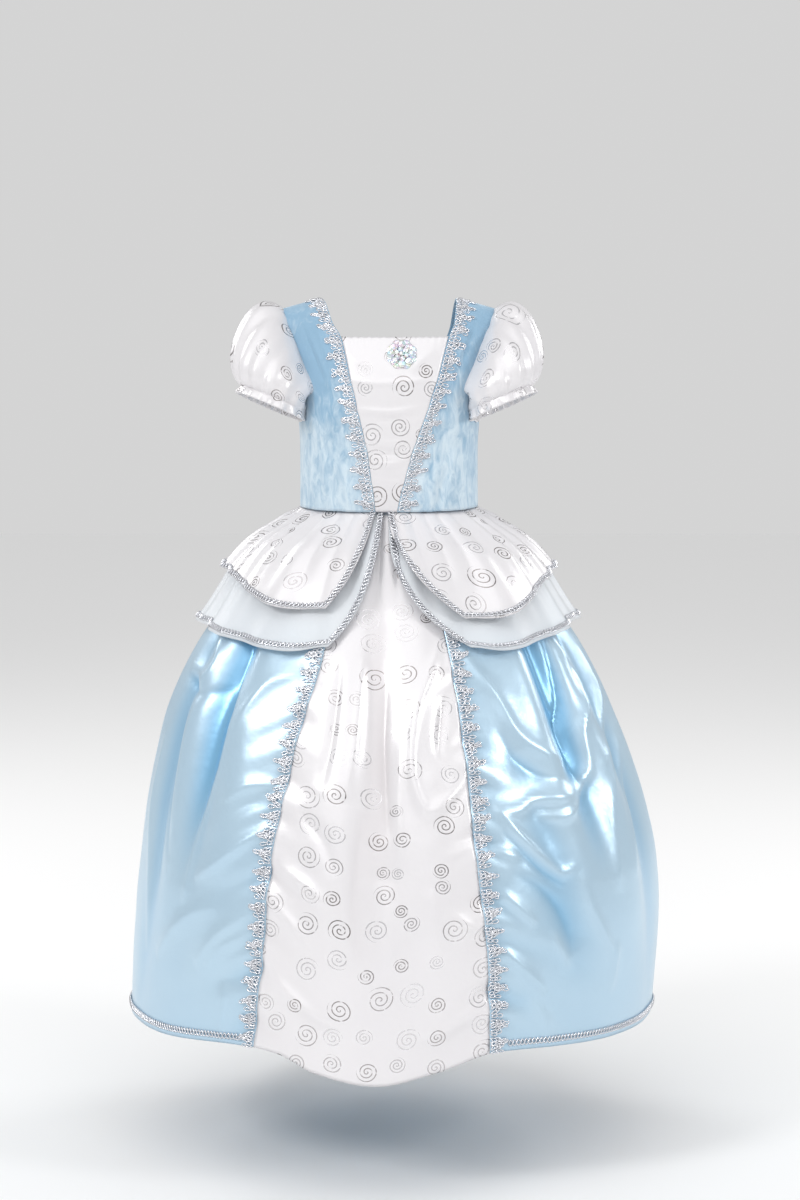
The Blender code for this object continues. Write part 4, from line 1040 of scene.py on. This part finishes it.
def skirt():
    """White front panel, blue side fronts and blue back. Returns the surfaces that carry the trims."""
    surfaces = {}

    def gap(height, sign):
        return sign * SEAM_GAP / 2 / smooth(SKIRT, "half_depth", height)

    panels = {
        "skirt_front": (lambda h: seam_turn(h, -1) + gap(h, 1), lambda h: seam_turn(h, 1) - gap(h, 1), 64),
        "skirt_side_left": (lambda h: seam_turn(h, 1) + gap(h, 1), lambda h: SIDE_TURN - gap(h, 1), 84),
        "skirt_side_right": (lambda h: -SIDE_TURN + gap(h, 1), lambda h: seam_turn(h, -1) - gap(h, 1), 84),
        "skirt_back": (lambda h: SIDE_TURN + gap(h, 1), lambda h: 2 * math.pi - SIDE_TURN - gap(h, 1), 200),
    }
    for name, (start, end, columns) in panels.items():
        turn, height = skirt_panel(start, end, columns)
        points, painted_fold_shade = skirt_points(turn, height)
        down = lengths_along(points, 0)
        radius = smooth(SKIRT, "half_depth", height)
        flat = np.stack([turn * radius, -down], axis=-1)
        white = name == "skirt_front"
        piece = cloth(
            f"{name}_cloth", points, flat, CLOTH, WHITE_SATIN if white else BLUE_SATIN, painted_fold_shade=painted_fold_shade)
        slots_and_place(piece, [name])
        if not white:
            normals = grid_normals(points)
            if name == "skirt_side_right":
                points, normals = points[:, ::-1], normals[:, ::-1]
            surfaces[name] = Surface(points, normals)
    return surfaces


def flounce_place(flounce, share, down):
    waist_turn = flounce.waist_step * GATHER_STEP
    edge = waist_turn + (math.radians(flounce.corner_turn) - waist_turn) * down**flounce.edge_curve
    back = math.pi - SEAM_GAP / 2 / smooth(SKIRT, "half_depth", WAIST - flounce.side_drop * down)
    turn = edge + (back - edge) * share
    shorter = ease(*DROP_TURNS, np.degrees(turn))
    drop = flounce.front_drop + (flounce.side_drop - flounce.front_drop) * shorter
    rounded = CORNER_ROUND * np.exp(-((share / 0.045) ** 2)) * down**2
    return turn, WAIST - SEAM_GAP - drop * down * (1 - rounded)


def flounce_wave(flounce, turn, down):
    """Waves of a flounce, outwards only, growing towards its hem, with small flutes between them."""
    share = turn / math.pi
    down = np.maximum(down, 0)
    uneven = 0.78 + 0.22 * np.sin(9.0 * share + 6 * flounce.phase)
    drift = share + 0.02 * np.sin(7.0 * share + 9 * flounce.phase)
    crest = 0.5 - 0.5 * np.cos(2 * math.pi * (flounce.waves * drift + flounce.phase))
    along = 2.6 * flounce.waves * share + 0.3 * np.sin(11 * share) + flounce.phase
    flute = 0.5 + 0.5 * np.sin(2 * math.pi * along)
    return WAVE_DEPTH * uneven * crest * down**1.3 + FLUTE_DEPTH * uneven * flute * down**0.8


def pleat_depth(turn, down):
    """Narrow pleats that fan out from the waist seam, outwards only, and open towards the hem."""
    wander = 0.75 * GATHERS * turn + 1.4 * np.sin(5 * turn + 0.5) + 0.8 * np.sin(12 * turn)
    crest = np.abs(np.cos(wander / 2)) ** 1.4
    uneven = 0.65 + 0.35 * np.sin(8 * turn + 1.0)
    down = np.maximum(down, 0)
    return PLEAT_DEPTH * uneven * crest * ease(0, 0.16, down) * (1 - 0.75 * ease(0.35, 1.0, down))


def flounce_points(flounce, below, share, down):
    turn, height = flounce_place(flounce, share, down)
    lower = below or flounce
    fall = (WAIST - height) / (0.5 * (lower.front_drop + lower.side_drop))
    out = LOWER_STEP + LOWER_STAND * ease(0, 0.4, fall) + flounce_wave(lower, turn, fall)
    if below:
        out = out + UPPER_STEP + UPPER_STAND * ease(0, 0.5, down) + flounce_wave(flounce, turn, down)
    out = out + gather_depth(turn, height) + pleat_depth(turn, down)
    return skirt_form(turn * flounce.side, height, out)


def cone_flat(turn, height):
    """A place on the flat cloth of a flared flounce, which is cut as part of a ring."""
    lean = 0.62
    radius = smooth(SKIRT, "half_width", height) / lean
    return np.stack([radius * np.sin(turn * lean), -radius * np.cos(turn * lean)], axis=-1)


def peplum():
    layers = [
        ("peplum_lower_left", LOWER_LEFT, None, WHITE_ORGANZA, "white_organza", ORGANZA),
        ("peplum_lower_right", LOWER_RIGHT, None, WHITE_ORGANZA, "white_organza", ORGANZA),
        ("peplum_upper_left", UPPER_LEFT, LOWER_LEFT, WHITE_SATIN, "white_foil_satin", CLOTH),
        ("peplum_upper_right", UPPER_RIGHT, LOWER_RIGHT, WHITE_SATIN, "white_foil_satin", CLOTH),
    ]
    edges = {}
    for name, flounce, below, material, slot, thickness in layers:
        down, share = np.meshgrid(np.linspace(0, 1, 40), np.linspace(0, 1, 181), indexing="ij")
        points = flounce_points(flounce, below, share, down)
        turn, height = flounce_place(flounce, share, down)
        flat = cone_flat(turn * flounce.side, height)
        shown, shown_flat = (points, flat) if flounce.side == 1 else (points[:, ::-1], flat[:, ::-1])
        piece = cloth(f"{name}_cloth", shown, shown_flat, thickness, material)
        slots_and_place(piece, [name])
        normals = grid_normals(points) * flounce.side
        edges[name] = (points, normals)
    return edges


def cuff_point(angle, radius_share, below, out):
    across = CUFF_RADIUS[0] * radius_share * np.cos(angle)
    along = -CUFF_RADIUS[1] * radius_share * np.sin(angle)
    x = CUFF_CENTRE[0] + out + across * math.cos(CUFF_LEAN_IN) + below * math.sin(CUFF_LEAN_IN)
    y = CUFF_CENTRE[1] + along * math.cos(CUFF_LEAN_BACK) - below * math.sin(CUFF_LEAN_BACK)
    z = (
        CUFF_CENTRE[2] + across * math.sin(CUFF_LEAN_IN) - along * math.sin(CUFF_LEAN_BACK)
        - below * math.cos(CUFF_LEAN_IN)
    )
    return np.stack([x, y, z], axis=-1)


def clear_of_torso(points, row):
    """Moves points that lie beside the bodice out to its surface. row is a place in SLEEVE_ROWS."""
    clear = SLEEVE_CLEAR * np.clip(row / 4, 0, 1)
    half_width, half_depth = TORSO[2].half_width, TORSO[2].half_depth
    across, along = np.abs(points[..., 0] / half_width), np.abs(points[..., 1] / half_depth)
    reach = across**TORSO_POWER + along**TORSO_POWER
    needed = np.maximum((1 + clear) / reach ** (1 / TORSO_POWER), 1)
    low, high = ABOVE_CHEST
    needed = 1 + (needed - 1) * (1 - ease(CHEST + low, CHEST + high, points[..., 2]))
    return points * np.stack([needed, needed, np.ones_like(needed)], axis=-1)


def sleeve(side, sign, front, back):
    """A puff from the armhole to the elastic and the frill below it, one closed grid, made for the left
    and mirrored for the right."""
    loop = np.concatenate([front[::-1], back[1:-1], front[-1:]])
    run = lengths_along(loop[:, None], 0)[:, 0]
    at = np.arange(SLEEVE_COLUMNS) / SLEEVE_COLUMNS
    armhole = np.stack([np.interp(at * run[-1], run, loop[:, k]) for k in range(3)], axis=-1)
    angle = at * 2 * math.pi
    out = CUFF_OUT[side]
    top = 0.5 + 0.5 * np.cos(angle)
    bunch = SLEEVE_GATHERS * angle + 0.7 * np.sin(3 * angle) + 0.4 * np.sin(5 * angle + 1)
    angle = angle + SLEEVE_TWIST * (1 - top)
    leave = np.stack([0.75 - 0.25 * np.sin(angle), -0.95 * np.sin(angle), 1.30 * top - 0.50], axis=-1)
    arrive = np.stack([np.cos(angle) * (0.3 + 0.7 * top), -np.sin(angle), 0.9 + 0 * angle], axis=-1)
    puff = np.stack([0.4 + 0.6 * np.cos(angle), -np.sin(angle), 0.5 * np.cos(angle)], axis=-1)
    start = armhole * np.array([sign, 1, 1]) + np.array([0.0005, 0.0, 0.0001])
    ring = cuff_point(angle, 1.0, 0.0, out)
    first = start + leave * (LEAVE_PULL[0] + LEAVE_PULL[1] * top)[:, None]
    second = ring + arrive * (ARRIVE_PULL[0] + ARRIVE_PULL[1] * top)[:, None]
    rows, places = [], []
    for t in np.linspace(0, 1, PUFF_ROWS):
        u = 1 - t
        base = u**3 * start + 3 * t * u**2 * first + 3 * t * t * u * second + t**3 * ring
        lift = 0.35 + 0.65 * abs(2 * t - 1) ** 1.2
        shown = math.sin(math.pi * min(max(t, 0.03), 0.97)) ** 0.5
        depth = PUFF_GATHER * lift * shown * (0.25 + 0.75 * top)
        slow = PUFF_SWELL * math.sin(math.pi * t) * np.sin(7 * angle + 2.5 * t) * top
        rows.append(base + puff * (depth * np.cos(bunch + 1.2 * t) + slow)[:, None])
        places.append(np.interp(t, SLEEVE_ROWS, np.arange(len(SLEEVE_ROWS))))
    for t in np.linspace(0, 1, FRILL_ROWS)[1:]:
        spread = 1.0 + FRILL_FLARE * t + FRILL_WAVE * t * np.cos(bunch + 1.2)
        rows.append(cuff_point(angle, spread, CUFF_FRILL * t, out))
        places.append(6 + 2 * t)
    grid = np.array(rows)
    places = np.array(places)[:, None]
    cleared = clear_of_torso(grid, places)
    grid = np.where(places[..., None] > 0.5, cleared, grid)
    grid = grid * np.array([sign, 1, 1])
    flat_across = np.linspace(0, 1, SLEEVE_COLUMNS + 1) * SLEEVE_CUT_WIDTH
    flat_down = lengths_along(grid, 0).mean(axis=1)
    flat = np.stack(np.meshgrid(flat_down, flat_across, indexing="ij")[::-1], axis=-1)
    piece = cloth(f"sleeve_{side}_cloth", grid[:, ::sign], flat, SLEEVE_WALL, WHITE_SATIN, closed=True)
    slots_and_place(piece, [f"sleeve_{side}"])


Leaf = namedtuple("Leaf", "along across lean length width up")
LEAVES = [
    # one spray of the looped braid: each loop's foot, its lean from straight outwards in degrees,
    # its size and its lift
    Leaf(0.0004, 0.0105, 4, 0.0086, 0.0034, 0.0014),
    Leaf(0.0022, 0.0096, 26, 0.0084, 0.0034, 0.0008),
    Leaf(-0.0020, 0.0098, -20, 0.0084, 0.0034, 0.0008),
    Leaf(0.0040, 0.0082, 52, 0.0076, 0.0034, 0.0004),
    Leaf(-0.0040, 0.0084, -46, 0.0078, 0.0034, 0.0004),
    Leaf(0.0014, 0.0060, 20, 0.0068, 0.0036, 0.0018),
    Leaf(-0.0018, 0.0056, -30, 0.0068, 0.0036, 0.0016),
    Leaf(0.0052, 0.0052, 36, 0.0066, 0.0034, 0.0012),
    Leaf(-0.0056, 0.0052, -30, 0.0066, 0.0034, 0.0012),
    Leaf(0.0086, 0.0056, 8, 0.0074, 0.0034, 0.0008),
    Leaf(0.0018, 0.0008, 34, 0.0064, 0.0036, 0.0014),
    Leaf(-0.0022, 0.0008, -22, 0.0062, 0.0036, 0.0012),
    Leaf(0.0056, 0.0008, 16, 0.0060, 0.0034, 0.0013),
    Leaf(-0.0060, 0.0008, -30, 0.0060, 0.0034, 0.0014),
    Leaf(0.0086, 0.0010, 4, 0.0066, 0.0034, 0.0010),
]


def looped_braid(name, surface, start, scallop, nodes):
    """Sprays of yarn loops side by side along a seam, smaller ones at the seam itself."""
    total = surface.along[-1] - start
    count = round(total / scallop)
    pitch = total / count
    t = np.arange(LOOP_POINTS) / LOOP_POINTS * 2 * math.pi
    reach = (1 - np.cos(t)) / 2
    spread = np.sin(t) * np.sin(t / 2)
    alongs, acrosses, ups = [], [], []
    uneven = np.random.default_rng(len(name) + count)
    for k in range(count):
        middle = start + (k + 0.5) * pitch
        for leaf in LEAVES:
            lean = math.radians(leaf.lean + uneven.normal(0, LEAN_SPREAD))
            length = leaf.length * uneven.uniform(*LENGTH_SPREAD)
            forward = length * reach
            beside = leaf.width * LOOP_FULLNESS * spread
            alongs.append(middle + leaf.along - forward * math.sin(lean) + beside * math.cos(lean))
            acrosses.append(leaf.across + forward * math.cos(lean) + beside * math.sin(lean))
            ups.append(BRAID_LIFT + leaf.up * (0.5 + 0.8 * np.sin(t / 2)))
    along = np.clip(np.concatenate(alongs), start, surface.along[-1])
    across = np.clip(np.concatenate(acrosses), *BRAID_REACH)
    points, normals = surface.at(along, across, np.concatenate(ups))
    loops = points.reshape(-1, LOOP_POINTS, 3), normals.reshape(-1, LOOP_POINTS, 3)
    slots_and_place(wires(name, *loops, WIRE, SILVER), nodes)


def narrow_edging(name, path, inward, normals, nodes):
    """Chain of silver yarn along a path: two waves of yarn that cross over and under each other."""
    run = lengths_along(path[:, None], 0)[:, 0]
    waves = round(run[-1] / EDGING_PITCH)
    at = np.linspace(0, run[-1], waves * 10 + 1)

    def read(values):
        return np.stack([np.interp(at, run, values[:, k]) for k in range(3)], axis=-1)

    base, side, up = read(path), read(inward), read(normals)
    side /= np.linalg.norm(side, axis=-1, keepdims=True)
    up /= np.linalg.norm(up, axis=-1, keepdims=True)
    phase = at / run[-1] * waves * 2 * math.pi
    paths = []
    for shift in (0, math.pi):
        swing = np.sin(phase + shift)
        lift = EDGING_LIFT[0] + EDGING_LIFT[1] * np.cos(phase + shift)
        paths.append(base + side * (swing * EDGING_WIDTH * EDGING_SWING)[:, None] + up * lift[:, None])
    piece = wires(name, np.array(paths), np.array([up, up]), EDGING_WIRE, SILVER, closed=False, sides=4)
    slots_and_place(piece, nodes)


def hem_line(name, surface):
    """The line of the hem edging on a blue panel: its points, the way up the cloth, and its normals."""
    points, normals = surface.points, surface.normals
    reach = surface.across[-1]
    start = HEM_EDGING_START if "side" in name else 0.0
    column = np.interp(np.linspace(start, reach[-1] - 0.001, 400), reach, np.arange(len(reach)))
    row = len(points) - 1 - HEM_EDGING_UP / (surface.along[-1] - surface.along[-2])
    low = int(row)

    def read(grid):
        mixed = grid[low] + (row - low) * (grid[low + 1] - grid[low])
        return np.stack([np.interp(column, np.arange(len(reach)), mixed[:, k]) for k in range(3)], axis=-1)

    return read(points), read(np.roll(points, 1, axis=0)) - read(points), read(normals)


def flounce_line(points, normals):
    """The line of a flounce's edging, down its front edge and along its hem."""
    down_edge = points[:-3, 1]
    hem = points[-3, 1:-1] * 0.5 + points[-2, 1:-1] * 0.5
    inwards = [points[:-3, 3] - down_edge, points[-4, 1:-1] - points[-2, 1:-1]]
    ups = [normals[:-3, 1], normals[-2, 1:-1]]
    return np.concatenate([down_edge, hem]), np.concatenate(inwards), np.concatenate(ups)


def trims(bodice_surfaces, skirt_surfaces, flounces):
    for side in ("left", "right"):
        looped_braid(
            f"looped_braid_bodice_{side}", bodice_surfaces[side], 0.0,
            BODICE_SCALLOP, [f"braid_bodice_{side}"])
        looped_braid(
            f"looped_braid_skirt_{side}", skirt_surfaces[f"skirt_side_{side}"], SKIRT_BRAID_START,
            SKIRT_SCALLOP, [f"braid_skirt_{side}"])
    for name, surface in skirt_surfaces.items():
        panel = name.replace("skirt_", "")
        narrow_edging(f"narrow_edging_hem_{panel}", *hem_line(name, surface), [f"edging_hem_{panel}"])
    for name, grids in flounces.items():
        narrow_edging(f"narrow_edging_{name}", *flounce_line(*grids), [f"edging_{name}"])


RosetteRing = namedtuple("RosetteRing", "count distance turn radius height lift")
ROSETTE_RINGS = [
    # scalloped base, petals, inner petals and centre. turn is the first one's place, as a share of
    # the spacing
    RosetteRing(8, 0.0112, 0.5, 0.0050, 0.0012, 0.0008),
    RosetteRing(8, 0.0103, 0.0, 0.0042, 0.0022, 0.0018),
    RosetteRing(6, 0.0050, 0.3, 0.0028, 0.0018, 0.0026),
    RosetteRing(1, 0.0, 0.0, 0.0026, 0.0022, 0.0030),
]
DOME_SIDES = 14
DOME_RINGS = 4


def dome(across, above, radius, height, lift):
    """Vertices and faces of a small dome with a flat foot, in the rosette's own plane."""
    vertices, faces = [], []
    sides, rings = DOME_SIDES, DOME_RINGS
    for ring in range(rings):
        tilt = ring / rings * math.pi / 2
        reach, up = radius * math.cos(tilt), lift + height * math.sin(tilt)
        for k in range(sides):
            turn = 2 * math.pi * k / sides
            vertices.append((across + reach * math.cos(turn), above + reach * math.sin(turn), up))
    vertices.append((across, above, lift + height))
    for ring in range(rings - 1):
        here, beyond = ring * sides, (ring + 1) * sides
        for k in range(sides):
            j = (k + 1) % sides
            faces.append([here + k, here + j, beyond + j, beyond + k])
    last = (rings - 1) * sides
    faces += [[last + k, last + (k + 1) % sides, rings * sides] for k in range(sides)]
    faces.append(list(range(sides))[::-1])
    return vertices, faces


def rosette(points, normals):
    """Sequin flower at the middle of the neckline, made of small domes."""
    middle = points.shape[1] // 2
    centre_height = points[-1, middle, 2] - ROSETTE_BELOW_NECK
    row = int(np.argmin(np.abs(points[:, middle, 2] - centre_height)))
    centre = points[row, middle] + np.array([ROSETTE_SHIFT, 0, 0])
    normal = normals[row, middle] / np.linalg.norm(normals[row, middle])
    if normal[1] > 0:
        normal = -normal
    right = np.cross(normal, [0, 0, 1])
    right /= np.linalg.norm(right)
    up = np.cross(right, normal)
    vertices, faces = [], []
    for ring in ROSETTE_RINGS:
        for k in range(ring.count):
            turn = 2 * math.pi * (k + ring.turn) / ring.count
            across, above = ring.distance * math.cos(turn), ring.distance * math.sin(turn)
            places, petal = dome(across, above, ring.radius, ring.height, ring.lift)
            first = len(vertices)
            vertices += [centre + right * a + up * b + normal * (c - 0.0002) for a, b, c in places]
            faces += [[first + v for v in face] for face in petal]
    piece = add_mesh("rosette_flower", vertices, faces, CRYSTAL)
    slots_and_place(piece, ["rosette"])


Cut = namedtuple("Cut", "piece width length area held rests_on trims")


armhole_edges, seam_surfaces, centre_points, centre_normals = bodice()
for side, sign in (("left", 1), ("right", -1)):
    sleeve(side, sign, *armhole_edges[side])
skirt_surfaces = skirt()
flounces = peplum()
trims(seam_surfaces, skirt_surfaces, flounces)
rosette(centre_points, centre_normals)


Lamp = namedtuple("Lamp", "name place size power")
LAMPS = [
    Lamp("key", (-2.2, -2.1, 1.5), 0.8, 34),
    Lamp("fill", (2.7, -1.5, 0.9), 0.7, 24),
    Lamp("rim_left", (-1.7, 1.6, 0.9), 1.0, 14),
    Lamp("rim_right", (1.9, 1.2, 0.7), 1.0, 14),
]
LAMP_AIM = (0, 0, -0.35)
FLOOR_HEIGHT = -0.845          # below the hem, because the dress is carried at its shoulders
FLOOR_HALF = 6
BACKDROP = (0.42, 0.66)        # strength of the surroundings: as light on the dress, and as seen
SKY_STRENGTH = 1.2
SKY_SPREAD = math.radians(70)
SKY_TURN = (math.radians(38), 0, math.radians(-12))
CAMERA_PLACE = (0.011, -3.2, 0.10)
CAMERA_DOWN = 7.04             # degrees below level
CAMERA_LENS = 96


def floor():
    half = FLOOR_HALF
    corners = [(x, y, FLOOR_HEIGHT) for x, y in ((-half, -half), (half, -half), (half, half), (-half, half))]
    material, shader = new_material("pale_floor")
    shader.inputs["Base Color"].default_value = colour("F4F4F4")
    shader.inputs["Roughness"].default_value = 0.8
    add_mesh("floor", corners, [[0, 1, 2, 3]], material, smooth_faces=False)


def surroundings(scene):
    """White surroundings, seen brighter than they light the dress."""
    world = scene.world or bpy.data.worlds.new("studio")
    scene.world = world
    world.use_nodes = True
    background = world.node_tree.nodes["Background"]
    background.inputs[0].default_value = colour("FFFFFF")
    seen = world.node_tree.nodes.new("ShaderNodeLightPath")
    strength = world.node_tree.nodes.new("ShaderNodeMapRange")
    strength.inputs["To Min"].default_value, strength.inputs["To Max"].default_value = BACKDROP
    world.node_tree.links.new(seen.outputs["Is Camera Ray"], strength.inputs["Value"])
    world.node_tree.links.new(strength.outputs[0], background.inputs["Strength"])


def lamps(scene):
    for lamp in LAMPS:
        light = bpy.data.lights.new(lamp.name, "AREA")
        light.shape = "SQUARE"
        light.size = lamp.size
        light.energy = lamp.power
        made = bpy.data.objects.new(lamp.name, light)
        scene.collection.objects.link(made)
        made.location = lamp.place
        aim = np.array(LAMP_AIM) - np.array(lamp.place)
        level = math.hypot(aim[0], aim[1])
        made.rotation_euler = (math.atan2(level, -aim[2]), 0, math.atan2(aim[1], aim[0]) - math.pi / 2)
    sky = bpy.data.lights.new("sky", "SUN")
    sky.energy = SKY_STRENGTH
    sky.angle = SKY_SPREAD
    made = bpy.data.objects.new("sky", sky)
    scene.collection.objects.link(made)
    made.rotation_euler = SKY_TURN


def studio():
    """Pale floor, soft lights and the camera at the photograph's angle."""
    scene = bpy.context.scene
    scene.view_settings.view_transform = "Standard"
    floor()
    surroundings(scene)
    lamps(scene)
    camera = bpy.data.objects.new("camera", bpy.data.cameras.new("camera"))
    scene.collection.objects.link(camera)
    camera.location = CAMERA_PLACE
    camera.rotation_euler = (math.radians(90 - CAMERA_DOWN), 0, 0)
    camera.data.sensor_fit = "VERTICAL"
    camera.data.sensor_height = 36
    camera.data.lens = CAMERA_LENS
    scene.camera = camera


studio()
